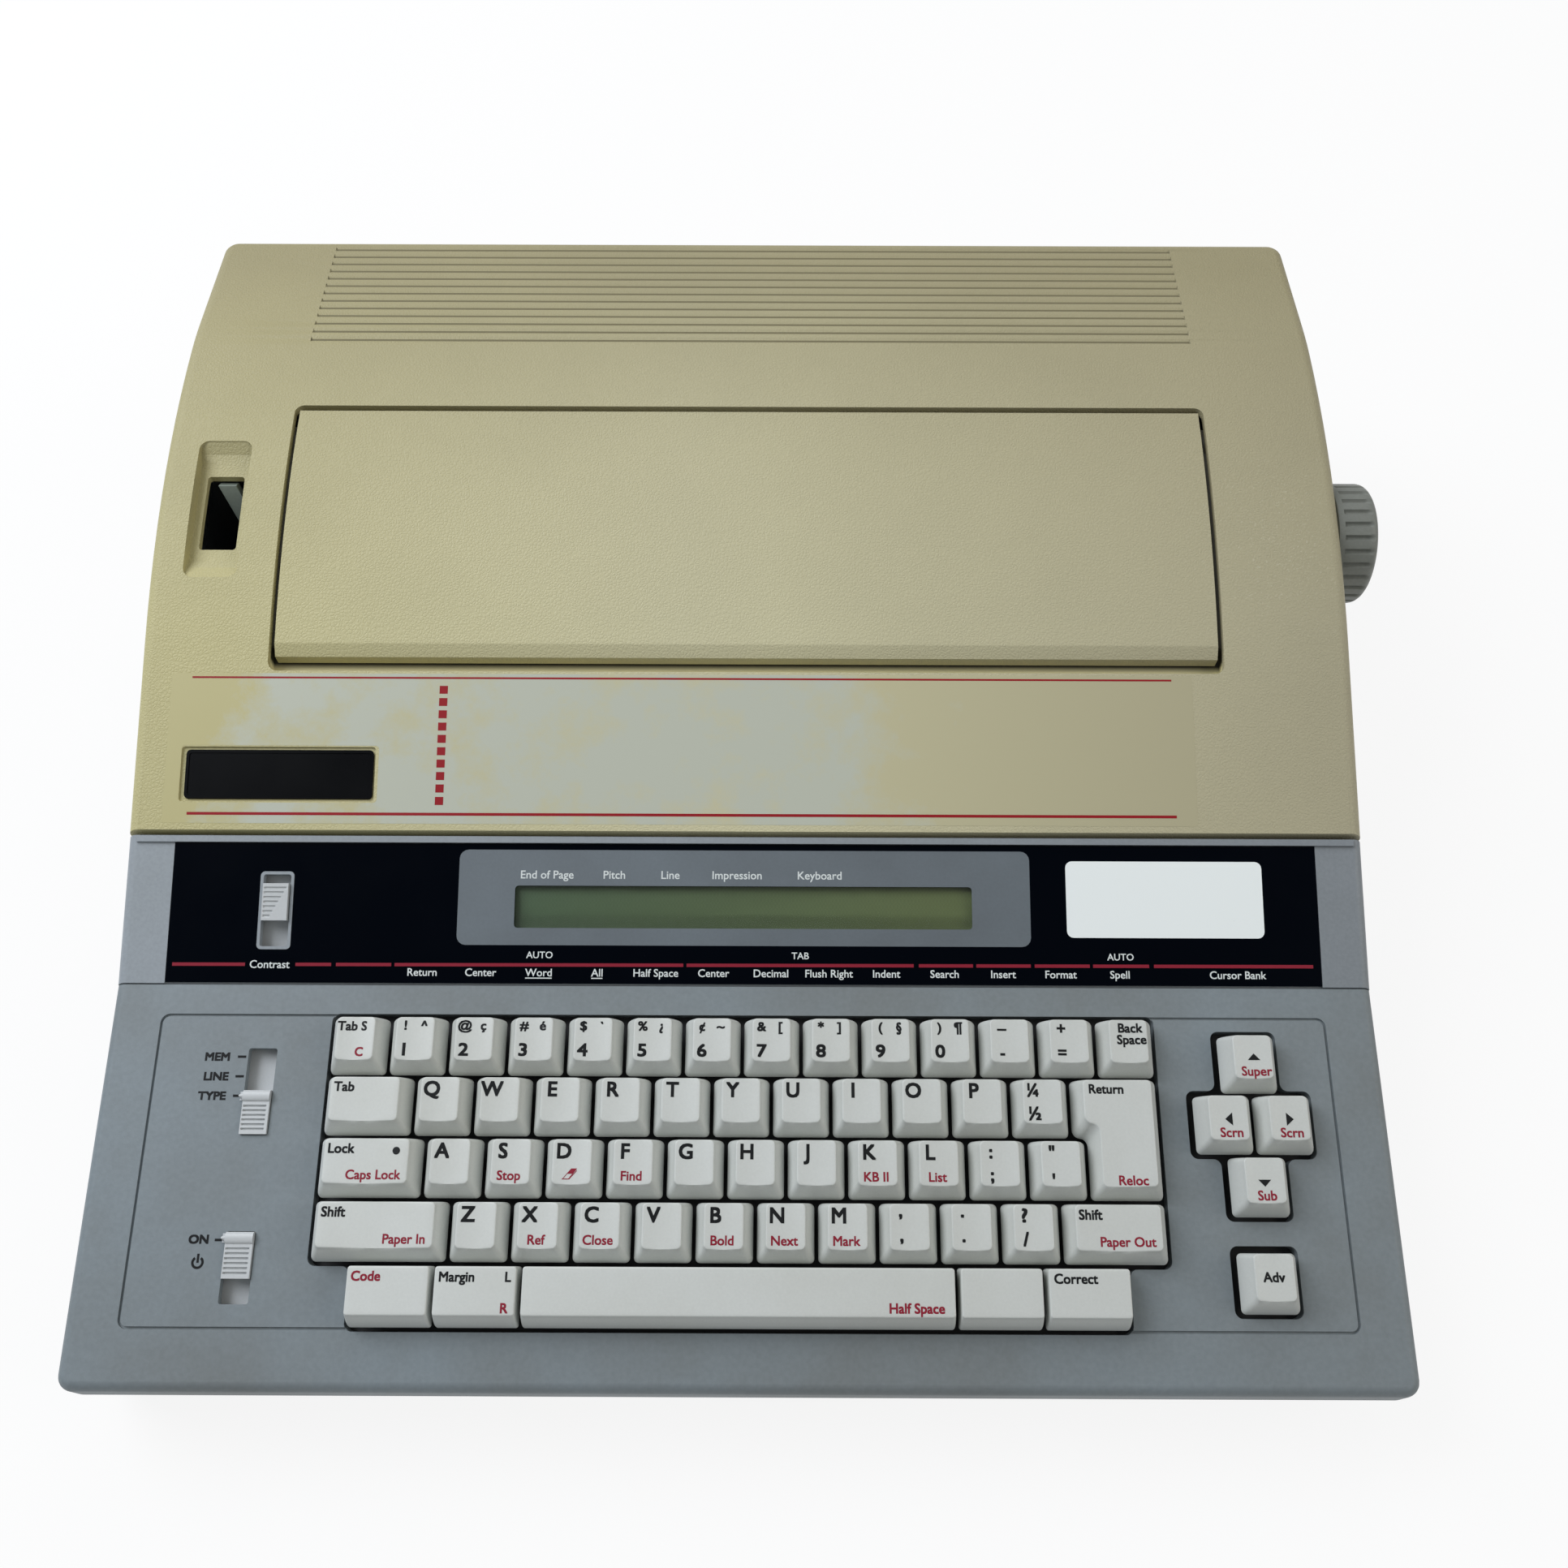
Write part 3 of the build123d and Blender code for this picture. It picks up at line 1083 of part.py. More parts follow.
def feed_motor():
    """Stepper motor outside the right side plate, on a flange with two posts."""
    y, z = pinion_axis()
    x = gear_x() + GEAR_WIDTH / 2 + 1
    motor = rod_x(MOTOR_RADIUS, x, x + MOTOR_LENGTH, y, z)
    reach = MOTOR_RADIUS + MOTOR_LUG
    motor += block(x, x + PLATE, y - reach, y + reach, z - MOTOR_LUG, z + MOTOR_LUG)
    for side in (-1, 1):
        motor += rod_x(MOTOR_LUG * 3 / 8, FRAME_X + PLATE, x + 0.5,
                       y + side * (reach - MOTOR_LUG / 2), z)
    return motor - rod_x(MODULE * 1.5 + RUN_FIT, x - 1, x + MOTOR_LENGTH / 2 + 1, y, z)


def bail_axis():
    reach = PLATEN_RADIUS + BAIL_ROLLER + TOUCH_GAP
    return (PLATEN_AXIS[0] - reach * sin(radians(BAIL_ANGLE)),
            PLATEN_AXIS[1] + reach * cos(radians(BAIL_ANGLE)))


def paper_bail():
    """Bail rod on two arms that pivot on the side plates, with three small rollers."""
    y, z = bail_axis()
    py, pz = BAIL_PIVOT
    inner = PLATEN_HALF + 1.5
    bail = rod_x(BAIL_ROD, -inner - PLATE, inner + PLATE, y, z)
    length = hypot(y - py, z - pz)
    nx, nz = (z - pz) / length * BAIL_ARM / 2, -(y - py) / length * BAIL_ARM / 2
    for side in (-1, 1):
        x = sorted((side * inner, side * (inner + PLATE)))
        bail += prism([(py - nx, pz - nz), (y - nx, z - nz), (y + nx, z + nz),
                       (py + nx, pz + nz)], *x)
        bail += rod_x(BAIL_ARM / 2, *x, py, pz) + rod_x(BAIL_ARM / 2, *x, y, z)
        pin = sorted((side * (inner + 1), side * (FRAME_X + PLATE)))
        bail += rod_x(PIN_RADIUS, *pin, py, pz)
    for x in (-BAIL_SPACING, 0, BAIL_SPACING):
        bail += rod_x(BAIL_ROLLER, x - BAIL_ROLLER_LENGTH / 2, x + BAIL_ROLLER_LENGTH / 2, y, z)
    return bail


def paper_chute():
    """Curved sheet behind the platen that leads the paper down and round it."""
    inner = PLATEN_RADIUS + CHUTE_GAP
    outer = inner + CHUTE_THICK
    y, z = PLATEN_AXIS

    def on(radius, degrees):
        angle = radians(degrees)
        return y + radius * cos(angle), z + radius * sin(angle)

    low, high = CHUTE_ARC
    middle = (low + high) / 2
    sides = [ThreePointArc(on(inner, low), on(inner, middle), on(inner, high)),
             ThreePointArc(on(outer, low), on(outer, middle), on(outer, high)),
             Line(on(inner, low), on(outer, low)), Line(on(inner, high), on(outer, high))]
    return extruded(Face(Wire(sides)), -FRAME_X, FRAME_X)


def release_lever():
    """Paper release lever: a hub on its stub and a blade that leans out to the pocket."""
    y, z = LEVER_PIVOT
    x0 = -FRAME_X - PLATE - 1 - LEVER_HUB_WIDTH
    lean = radians(LEVER_LEAN)
    blade_plane = Plane(origin=(x0 + LEVER_HUB_WIDTH / 2, y, z), x_dir=(1, 0, 0),
                        z_dir=(0, -cos(lean), sin(lean))).location
    tip = -LEVER_SIDE
    half, tip_half = LEVER_HUB_WIDTH / 2, LEVER_TIP_WIDTH / 2
    knee = LEVER_LENGTH * 0.62
    outline = [(-half, 0), (half, 0), (half, knee * 0.8), (tip + tip_half, LEVER_LENGTH),
               (tip - tip_half, LEVER_LENGTH), (-half - 2, knee)]
    blade = extrude(make_face(Polyline(*outline, close=True)), amount=LEVER_THICK / 2, both=True)
    lever = blade_plane * blade + rod_x(LEVER_HUB, x0, x0 + LEVER_HUB_WIDTH, y, z)
    return lever - rod_x(LEVER_PIN + RUN_FIT, x0 - 1, x0 + LEVER_HUB_WIDTH + 1, y, z)


def carriage_rails():
    return [rod_x(radius, -FRAME_X, FRAME_X, RAIL_Y, z) for z, radius in (RAIL_LOW, RAIL_HIGH)]


def pulley_y():
    return CHASSIS_FRONT + PLATE + 2


def carriage():
    """Sliding carriage: bushes on both rails, back plate, cheeks, belt clamp, hammer coil."""
    half = CARRIAGE_HALF
    plate = CARRIAGE_PLATE_Y
    low = RAIL_LOW[0] - RAIL_LOW[1]
    body = block(-half, half, plate, plate + CHEEK, low, CARRIAGE_TOP)
    for z, radius in (RAIL_LOW, RAIL_HIGH):
        body += rod_x(radius + BUSH_WALL, -half, half, RAIL_Y, z)
        for x in (-half, half - CHEEK):
            body += block(x, x + CHEEK, RAIL_Y, plate + 1, z - radius, z + radius)
    clamp_z = PULLEY_Z + PULLEY_RADIUS + BELT_THICK + 3 * SEAM_GAP
    body += block(-8, 8, pulley_y(), plate + 1, clamp_z, clamp_z + CHEEK)
    body += rod_y(CAN_RADIUS, *CAN_Y, 0, PLATEN_AXIS[1])
    body += block(-CAN_RADIUS, CAN_RADIUS, plate + 1, CAN_Y[0] + 4,
                  PLATEN_AXIS[1] - CAN_RADIUS, CARRIAGE_TOP)
    body -= rod_y(PIN_RADIUS + RUN_FIT, plate - 1, CAN_Y[1] + 1, 0, PLATEN_AXIS[1])
    for z, radius in (RAIL_LOW, RAIL_HIGH):
        body -= rod_x(radius + RUN_FIT, -half - 1, half + 1, RAIL_Y, z)
    return body


def wheel_centre():
    """Centre of the print wheel and the y of its rear face."""
    return PLATEN_AXIS[0] - PLATEN_RADIUS - WHEEL_GAP, PLATEN_AXIS[1] - WHEEL_RADIUS + 1


def print_wheel_motor():
    y, z = wheel_centre()
    start = CARRIAGE_PLATE_Y + CHEEK
    can = rod_y(MOTOR_RADIUS - 1, start, y - 7, 0, z)
    return can - rod_y(PIN_RADIUS + RUN_FIT, start + 8, y, 0, z)


def print_wheel():
    """Daisy wheel: hub, shaft and petals, with the gap at the top where it rests."""
    y, z = wheel_centre()
    disc = Cylinder(WHEEL_RADIUS * 0.4, WHEEL_THICK)
    for i in range(1, PETALS):
        petal = block(-1.1, 1.1, WHEEL_RADIUS * 0.35, WHEEL_RADIUS, -WHEEL_THICK / 2,
                      WHEEL_THICK / 2)
        disc += Rot(0, 0, 360 / PETALS * i) * petal
    disc = Rot(90, 0, 0) * disc
    wheel = Pos(0, y - WHEEL_THICK / 2, z) * disc
    wheel += rod_y(6, y - 5, y, 0, z)
    return wheel + rod_y(PIN_RADIUS, CARRIAGE_PLATE_Y + CHEEK + 10, y - 4, 0, z)


def print_hammer():
    """Hammer rod in the coil, with a head that stops just short of the wheel."""
    y, _ = wheel_centre()
    z = PLATEN_AXIS[1]
    tip = y - WHEEL_THICK - 0.4 - HAMMER_TRAVEL
    head = block(-2.5, 2.5, tip - 5, tip, z - 3, z + 3)
    return head + rod_y(PIN_RADIUS, CARRIAGE_PLATE_Y + 2, tip - 4, 0, z)


def ribbon_cassette():
    """Ribbon cassette: two lobes bridged over the hammer, with arms and the ribbon."""
    y0, y1 = CASSETTE_Y
    z0, z1 = CASSETTE_Z
    notch = CAN_RADIUS + 1.5
    body = rounded(-CASSETTE_HALF, CASSETTE_HALF, y0, y1, z0, z1, 4)
    can_top = PLATEN_AXIS[1] + CAN_RADIUS + SEAM_GAP
    body -= block(-notch, notch, y0 - 1, y1 + 1, z0 - 1, can_top)
    ribbon = PLATEN_AXIS[0] - PLATEN_RADIUS - WHEEL_GAP / 2
    for side in (-1, 1):
        x = sorted((side * (CASSETTE_HALF - 12), side * (CASSETTE_HALF - 9)))
        body += block(*x, y1 - 2, ribbon + 0.3, PLATEN_AXIS[1] - 4, PLATEN_AXIS[1] + 4)
    inner = CASSETTE_HALF - 10
    return body + block(-inner, inner, ribbon - 0.3, ribbon + 0.3, PLATEN_AXIS[1] - 4,
                        PLATEN_AXIS[1] + 4)


def pulley(x, bore):
    """Flanged belt pulley about y."""
    y = pulley_y()
    wheel = rod_y(PULLEY_RADIUS, y, y + BELT_WIDTH + 1, x, PULLEY_Z)
    for start in (y - 1, y + BELT_WIDTH + 1):
        wheel += rod_y(PULLEY_RADIUS + 2, start, start + 1, x, PULLEY_Z)
    return wheel - rod_y(bore, y - 2, y + BELT_WIDTH + 4, x, PULLEY_Z) if bore else wheel


def motor_pulley():
    y = CHASSIS_FRONT - MOTOR_LENGTH / 2
    return pulley(PULLEY_X, 0) + rod_y(PIN_RADIUS, y, pulley_y(), PULLEY_X, PULLEY_Z)


def carriage_motor():
    motor = rod_y(MOTOR_RADIUS, CHASSIS_FRONT - MOTOR_LENGTH, CHASSIS_FRONT, PULLEY_X, PULLEY_Z)
    end = CHASSIS_FRONT - MOTOR_LENGTH / 2 - 1
    return motor - rod_y(PIN_RADIUS + RUN_FIT, end, CHASSIS_FRONT + 1, PULLEY_X, PULLEY_Z)


def drive_belt():
    """Flat loop round both pulleys, a small gap off them."""
    inner = PULLEY_RADIUS + SEAM_GAP
    outline = SlotCenterToCenter(2 * PULLEY_X, 2 * (inner + BELT_THICK))
    outline -= SlotCenterToCenter(2 * PULLEY_X, 2 * inner)
    loop = extrude(outline, amount=BELT_WIDTH)
    return Pos(0, pulley_y() + BELT_WIDTH + 0.5, PULLEY_Z) * Rot(90, 0, 0) * loop


def main_board():
    """Logic board on four pillars behind the platen, with its larger components at the rear."""
    x0, x1 = BOARD_X
    y0 = CHASSIS_REAR - BOARD_UNDER
    y1 = CASE_DEPTH - BASE_REAR_INSET - WALL - BOARD_CLEAR
    board = block(x0, x1, y0, y1, BOARD_Z, BOARD_Z + BOARD_THICK)
    inset = 1.5 * PILLAR
    for x in (x0 + inset, x1 - inset):
        for y in (y0 + inset, y1 - inset):
            reach = PILLAR * 0.75
            board += block(x - reach, x + reach, y - reach, y + reach, FLOOR_Z, BOARD_Z + 0.5)
    for start, width, depth, height in ((20, 52, 15, 5), (85, 52, 15, 5), (150, 22, 12, 12),
                                        (185, 22, 22, 26)):
        board += block(x0 + start, x0 + start + width, y1 - 6 - depth, y1 - 6,
                       BOARD_Z + 1, BOARD_Z + BOARD_THICK + height)
    return board


def transformer():
    """Mains transformer on the floor beside the board: laminated core and winding."""
    y = CASE_DEPTH - TRANSFORMER_BACK
    seat = Pos(TRANSFORMER_X, y, FLOOR_Z + CORE[2] / 2)
    coil = extrude(RectangleRounded(COIL[0], COIL[1], 6), amount=COIL[2] / 2, both=True)
    return seat * (Box(*CORE) + coil)


PARTS = {
    "base_pan": base_pan, "lower_case": lower_case, "keyboard_housing": keyboard_housing,
    "display_bezel": display_bezel, "display_overlay": display_overlay,
    "lcd_window": lcd_window, "lcd_module": lcd_module, "slide_switches": slide_switches,
    "top_cover": top_cover, "access_lid": access_lid, "rubber_feet": rubber_feet,
    "cord_gland": cord_gland, "key_frame": key_frame, "lid_frame": lid_frame,
    "lever_tray": lever_tray, "chassis_frame": chassis_frame,
    "carriage_rails": carriage_rails, "platen_roller": platen_roller,
    "platen_shaft": platen_shaft, "platen_gear": platen_gear, "platen_knob": platen_knob,
    "feed_pinion": feed_pinion, "paper_bail": paper_bail, "paper_chute": paper_chute,
    "release_lever": release_lever, "carriage": carriage,
    "print_wheel_motor": print_wheel_motor, "print_wheel": print_wheel,
    "print_hammer": print_hammer, "ribbon_cassette": ribbon_cassette,
    "motor_pulley": motor_pulley, "drive_belt": drive_belt, "transformer": transformer,
    "return_key": return_key,
}


def build_all():
    """Every node as a list of solids in the case frame."""
    nodes = {name: make() for name, make in PARTS.items()}
    nodes["circuit_boards"] = [keyboard_circuit(), main_board()]
    nodes["drive_motors"] = [feed_motor(), carriage_motor()]
    nodes["idler_pulley"] = pulley(-PULLEY_X, PIN_RADIUS + RUN_FIT)
    nodes["front_feed_rollers"] = feed_rollers(-1)
    nodes["rear_feed_rollers"] = feed_rollers(1)
    nodes["mode_slider"] = DECK * slider_knob(MODE_KNOB, KNOB_LENGTH, WALL)
    nodes["power_slider"] = DECK * slider_knob(POWER_KNOB, KNOB_LENGTH, WALL)
    nodes["contrast_slider"] = PANEL * slider_knob(CONTRAST_KNOB, CONTRAST_KNOB_LENGTH,
                                                   BEZEL_WALL)
    for name, (row, unit, count) in UNIT_ROWS.items():
        nodes[name] = [key(row, unit + i, 1.0) for i in range(count)]
    for name, entry in SINGLE_KEYS.items():
        nodes[name] = key(*entry)
    for name, entry in BAR_KEYS.items():
        nodes[name] = bar_key(*entry)
    return nodes


os.makedirs("parts", exist_ok=True)
to_origin = Pos(-KNOB_REACH / 2, -CASE_DEPTH / 2, 0)
for node, shape in build_all().items():
    group = shape if isinstance(shape, list) else [shape]
    solids = [solid for item in group for solid in item.solids()]
    export_step(to_origin * Compound(solids), f"parts/{node}.step")
print("height of the crest", round(CREST_Z, 2), "lid axis", lid_axis(), "knob reach", KNOB_REACH)
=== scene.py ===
# %% [markdown]
# # An electronic typewriter in Blender
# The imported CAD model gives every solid, its place and its motion. This lesson dresses it: the
# mouldings get soft edges, the keys, sliders, knob and lever get finer shapes, the words are laid
# on their surfaces, and each material is built from what the real one is.

# %% Load the frame
import json
from collections import defaultdict
from math import cos, pi, radians, sin, tan
import bmesh
import bpy
import numpy as np
from mathutils import Matrix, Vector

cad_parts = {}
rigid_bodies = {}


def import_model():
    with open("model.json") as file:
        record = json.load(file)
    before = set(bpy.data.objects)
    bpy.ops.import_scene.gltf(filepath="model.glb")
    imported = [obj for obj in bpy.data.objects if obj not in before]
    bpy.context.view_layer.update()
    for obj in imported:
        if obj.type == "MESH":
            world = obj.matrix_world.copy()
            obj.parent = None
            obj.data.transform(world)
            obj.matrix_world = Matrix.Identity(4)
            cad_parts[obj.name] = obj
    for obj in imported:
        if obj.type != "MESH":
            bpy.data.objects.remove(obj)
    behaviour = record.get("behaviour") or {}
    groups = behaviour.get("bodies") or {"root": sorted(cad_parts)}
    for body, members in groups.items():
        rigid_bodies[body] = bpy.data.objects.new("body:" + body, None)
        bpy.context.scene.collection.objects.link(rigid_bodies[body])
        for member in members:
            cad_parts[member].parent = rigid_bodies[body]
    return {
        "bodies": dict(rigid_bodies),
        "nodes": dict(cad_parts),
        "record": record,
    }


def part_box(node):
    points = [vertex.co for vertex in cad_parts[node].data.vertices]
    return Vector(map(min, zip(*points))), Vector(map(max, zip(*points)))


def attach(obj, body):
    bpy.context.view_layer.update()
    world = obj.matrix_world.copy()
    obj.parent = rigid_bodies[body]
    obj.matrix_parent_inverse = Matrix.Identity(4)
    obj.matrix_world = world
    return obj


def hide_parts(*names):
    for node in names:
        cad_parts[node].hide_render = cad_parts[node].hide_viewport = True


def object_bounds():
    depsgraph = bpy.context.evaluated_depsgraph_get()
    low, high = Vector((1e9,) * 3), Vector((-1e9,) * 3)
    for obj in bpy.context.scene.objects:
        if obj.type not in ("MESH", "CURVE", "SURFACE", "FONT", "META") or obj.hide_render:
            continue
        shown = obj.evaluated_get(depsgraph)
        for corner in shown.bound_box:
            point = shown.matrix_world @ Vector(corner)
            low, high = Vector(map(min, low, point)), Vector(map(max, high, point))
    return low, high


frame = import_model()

cad_box = [[float(v) for v in corner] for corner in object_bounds()]
print("CAD box", cad_box, "nodes", len(frame["nodes"]), "bodies", len(frame["bodies"]))

# %% [markdown]
# ## One ruler for everything
# A maker of such a machine measures from the middle of the case and from the front edge of the
# deck, in millimetres. The frame counts in metres from the middle of the whole machine, knob
# included. So all shapes below are worked out in the maker's own measure and one function moves
# them into the frame.

# %% Case measure to frame
case_low, case_high = (np.array(c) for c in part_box("lower_case"))
SHIFT = np.array([(case_low[0] + case_high[0]) / 2, case_low[1], 0.0])


def to_frame(points):
    """Millimetres from the case's middle and front edge to metres in the frame."""
    return np.asarray(points, float) / 1000 + SHIFT


print("shift of the case in mm", (SHIFT * 1000).round(3))

# %% [markdown]
# ## The three slopes
# The keys stand on a deck that rises 9.3 degrees, the display panel behind it rises 18.5 degrees,
# and the cover behind that is an arch. A point on the first two is given by how far it is to the
# side, how far up the slope, and how far out of the surface. The arch is a straight front slope,
# a long arc to the crest, a tighter arc behind it and a straight fall.

# %% Deck and panel
DECK = (0.0, 40.6, radians(9.3))
PANEL_Y = 122.5
PANEL = (PANEL_Y, 40.6 + PANEL_Y * tan(DECK[2]) + 0.4, radians(18.5))


def on_slope(slope, x, s, n):
    """Point x to the side, s up the slope and n out of it: a turn about the sideways axis."""
    y0, z0, angle = slope
    x, s, n = np.broadcast_arrays(x, s, n)
    y = y0 + s * cos(angle) - n * sin(angle)
    z = z0 + s * sin(angle) + n * cos(angle)
    return np.stack([x, y, z], axis=-1)


def on_deck(x, s, n):
    return on_slope(DECK, x, s, n)


def on_panel(x, s, n):
    return on_slope(PANEL, x, s, n)


# %% Arch of the cover
COVER_START = 170.7
COVER_SLOPE = radians(19.0)
BEND = COVER_START + 61.3
CREST = 350.0
ARC = (CREST - BEND) / sin(COVER_SLOPE)
FRONT_Z = 78.5874
CREST_Z = FRONT_Z + (BEND - COVER_START) * tan(COVER_SLOPE) + ARC * (1 - cos(COVER_SLOPE))
REAR_ARC = 140.0
REAR_SLOPE = radians(5.8)
REAR_BEND = CREST + REAR_ARC * sin(REAR_SLOPE)


def cover_z(y):
    """Height of the cover: line, arc of 362 mm, arc of 140 mm, line, by where y lies."""
    y = np.asarray(y, float)
    front = FRONT_Z + (y - COVER_START) * tan(COVER_SLOPE)
    arc = CREST_Z - ARC + np.sqrt(np.maximum(ARC**2 - (y - CREST) ** 2, 0))
    rear = CREST_Z - REAR_ARC + np.sqrt(np.maximum(REAR_ARC**2 - (y - CREST) ** 2, 0))
    fall = CREST_Z - REAR_ARC * (1 - cos(REAR_SLOPE)) - (y - REAR_BEND) * tan(REAR_SLOPE)
    return np.select([y < BEND, y < CREST, y < REAR_BEND], [front, arc, rear], fall)


def on_cover(x, y, n):
    """Point at (x, y) of the arch, n out of it, straight up because the arch is shallow."""
    x, y, n = np.broadcast_arrays(x, y, n)
    return np.stack([x, y, cover_z(y) + n], axis=-1)


print("panel edge height", round(PANEL[1], 2), "crest", round(CREST_Z, 2))

# %% [markdown]
# ## Colour and nodes
# Colours are read off as the hex values a screen shows. Light adds up in linear values, so one
# function turns the first into the second. One more adds a shader node with its settings, and
# joins whatever is itself a socket.

# %% Colour and node helpers
def linear(code):
    """sRGB to linear: low values are divided by 12.92, the others follow a 2.4 power curve."""
    srgb = np.array([int(code[i:i + 2], 16) for i in (1, 3, 5)]) / 255
    light = np.where(srgb <= 0.04045, srgb / 12.92, ((srgb + 0.055) / 1.055) ** 2.4)
    return tuple(float(v) for v in light) + (1.0,)


def add(tree, kind, sockets, **settings):
    """Adds a node, sets its properties, then sets or links each named input."""
    node = tree.nodes.new(kind)
    for name, value in settings.items():
        setattr(node, name, value)
    for name, value in sockets.items():
        if isinstance(value, bpy.types.NodeSocket):
            tree.links.new(value, node.inputs[name])
        else:
            node.inputs[name].default_value = value
    return node


def new_material(name):
    """Empty node material with its output and its object coordinates."""
    material = bpy.data.materials.new(name)
    material.use_nodes = True
    tree = material.node_tree
    tree.nodes.clear()
    place = add(tree, "ShaderNodeTexCoord", {}).outputs["Object"]
    return material, tree, place


def close(tree, shader):
    add(tree, "ShaderNodeOutputMaterial", {"Surface": shader.outputs[0]})


print("screen grey #808080 is", round(linear("#808080")[0], 3), "in linear light")


# %% [markdown]
# ## Moulded plastics
# The case, keys and cover are injection-moulded. ABS takes the mould's spark-eroded grain, which
# gives the eye a matte surface with a faint sparkle at grazing light, and decades of daylight give
# it broad patches of another shade. Keys are PBT: finer grain, a little more shine where fingers
# polish them. One recipe serves them all: broad patches, a fine fleck and a grain as relief, each
# with its size in millimetres.

# %% Moulded plastic
def moulded(name, tint, patch, rough, grain_mm, relief_mm, fleck=0.05, sheen_patch=0.06,
            painted_shade_right=1.0):
    """Two shades mixed by broad noise, flecked by fine noise and grained; darkened to the right by
    painted shade.
    """
    material, tree, place = new_material(name)
    broad = add(tree, "ShaderNodeTexNoise", {
        "Vector": place, "Scale": 14.0, "Detail": 5.0, "Roughness": 0.6})
    spread = add(tree, "ShaderNodeMapRange", {
        "Value": broad.outputs["Fac"], "From Min": 0.32, "From Max": 0.68})
    shade = add(tree, "ShaderNodeMix", {
        "Factor": spread.outputs[0], "A": linear(tint), "B": linear(patch)}, data_type="RGBA")
    fine = add(tree, "ShaderNodeTexNoise", {
        "Vector": place, "Scale": 1000 / (2.2 * grain_mm), "Detail": 2.0})
    dots = add(tree, "ShaderNodeMapRange", {
        "Value": fine.outputs["Fac"], "From Min": 0.3, "From Max": 0.7, "To Min": 1 - fleck,
        "To Max": 1 + fleck})
    # Painted shade: the colour is scaled down towards the right, to the given factor at the right
    # end.
    across = add(tree, "ShaderNodeSeparateXYZ", {"Vector": place})
    side = add(tree, "ShaderNodeMapRange", {"Value": across.outputs["X"], "From Min": -0.2,
                                            "From Max": 0.2, "To Max": painted_shade_right, "To Min": 1.0})
    level = add(tree, "ShaderNodeMath", {
        0: dots.outputs[0], 1: side.outputs[0]}, operation="MULTIPLY")
    colour = add(tree, "ShaderNodeVectorMath", {
        0: shade.outputs["Result"], "Scale": level.outputs[0]}, operation="SCALE")
    gloss = add(tree, "ShaderNodeMapRange", {
        "Value": broad.outputs["Fac"], "To Min": rough - sheen_patch,
        "To Max": rough + sheen_patch})
    grain = add(tree, "ShaderNodeTexNoise", {
        "Vector": place, "Scale": 1000 / grain_mm, "Detail": 2.0, "Roughness": 0.5})
    bump = add(tree, "ShaderNodeBump", {
        "Height": grain.outputs["Fac"], "Strength": 0.6, "Distance": relief_mm / 1000})
    shader = add(tree, "ShaderNodeBsdfPrincipled", {
        "Base Color": colour.outputs[0], "Roughness": gloss.outputs[0], "IOR": 1.53,
        "Normal": bump.outputs["Normal"]})
    close(tree, shader)
    return material


MATERIALS = {
    # Grey ABS with a 0.7 mm spark-eroded grain: flat, slightly cool.
    "case_grey": moulded("moulded_grey_abs", "#7D8489", "#757B7D", 0.56, 0.7, 0.05),
    "deck_grey": moulded("moulded_deck_abs", "#7F898E", "#757B7C", 0.55, 0.7, 0.05),
    # Smooth-tooled ABS round the display, a shade lighter; painted shade darkens it towards the
    # right.
    "panel_grey": moulded("moulded_bezel_abs", "#9AA1A7", "#91989C", 0.5, 0.5, 0.03,
                          painted_shade_right=0.72),
    # PBT keys: fine grain, worn a little shiny; a little painted shade towards the right.
    "key_white": moulded("moulded_pbt", "#D6D9D5", "#CED0CA", 0.42, 0.35, 0.012, fleck=0.02,
                          painted_shade_right=0.92),
    "slider_white": moulded("moulded_acetal", "#C8CBCC", "#C0C3C3", 0.4, 0.3, 0.01, fleck=0.02),
    "lever_grey": moulded("moulded_lever_abs", "#9AA59C", "#8B958C", 0.45, 0.4, 0.015),
    "knob_grey": moulded("moulded_knob_abs", "#7B7D76", "#70746D", 0.48, 0.5, 0.02),
    # Near black, darkened so that the wells between the keys read black: partly painted shade.
    "inner_dark": moulded("glass_filled_nylon", "#191A1C", "#131416", 0.6, 0.6, 0.03),
    "gear_white": moulded("cut_acetal", "#D8D6CC", "#D0CEC2", 0.35, 0.5, 0.01),
    "motor_can": moulded("stove_enamelled_steel", "#3A3B3D", "#333436", 0.35, 0.8, 0.01),
}
print("moulded finishes", sorted(MATERIALS))

# %% [markdown]
# ## The yellowed cover
# The cover is ABS too, but its mould was etched to look like leather, and its flame retardant has
# yellowed. The eye sees a warm beige, yellower at the left, with small creases about 1.2 mm apart,
# and paler flecks near the corner by the knob. The beige also carries painted light: a painted
# highlight makes it lighter and greyer towards the middle, and painted shade darkens it at the
# right and towards the rear. Cell walls of a Voronoi pattern make the creases, and a noise kept
# near that corner makes the flecks.

# %% Cover
def beige_with_painted_light(tree, place):
    """Beige, yellower at the left; a painted highlight makes it lighter and greyer towards the
    middle, and painted shade makes it darker at the right and towards the rear.
    """
    where = add(tree, "ShaderNodeSeparateXYZ", {"Vector": place})
    shade = linear("#BEB684")
    # Painted highlight towards the middle, painted shade at the right and towards the rear.
    for along, low, high, most, tint in (
            ("X", -0.19, -0.03, 1.0, "#C7C19C"), ("X", 0.0, 0.2, 1.0, "#ABA487"),
            ("Y", 0.03, 0.19, 0.85, "#978E6B")):
        share = add(tree, "ShaderNodeMapRange", {
            "Value": where.outputs[along], "From Min": low, "From Max": high, "To Max": most})
        mixed = add(tree, "ShaderNodeMix", {
            "Factor": share.outputs[0], "A": shade, "B": linear(tint)}, data_type="RGBA")
        shade = mixed.outputs["Result"]
    return shade


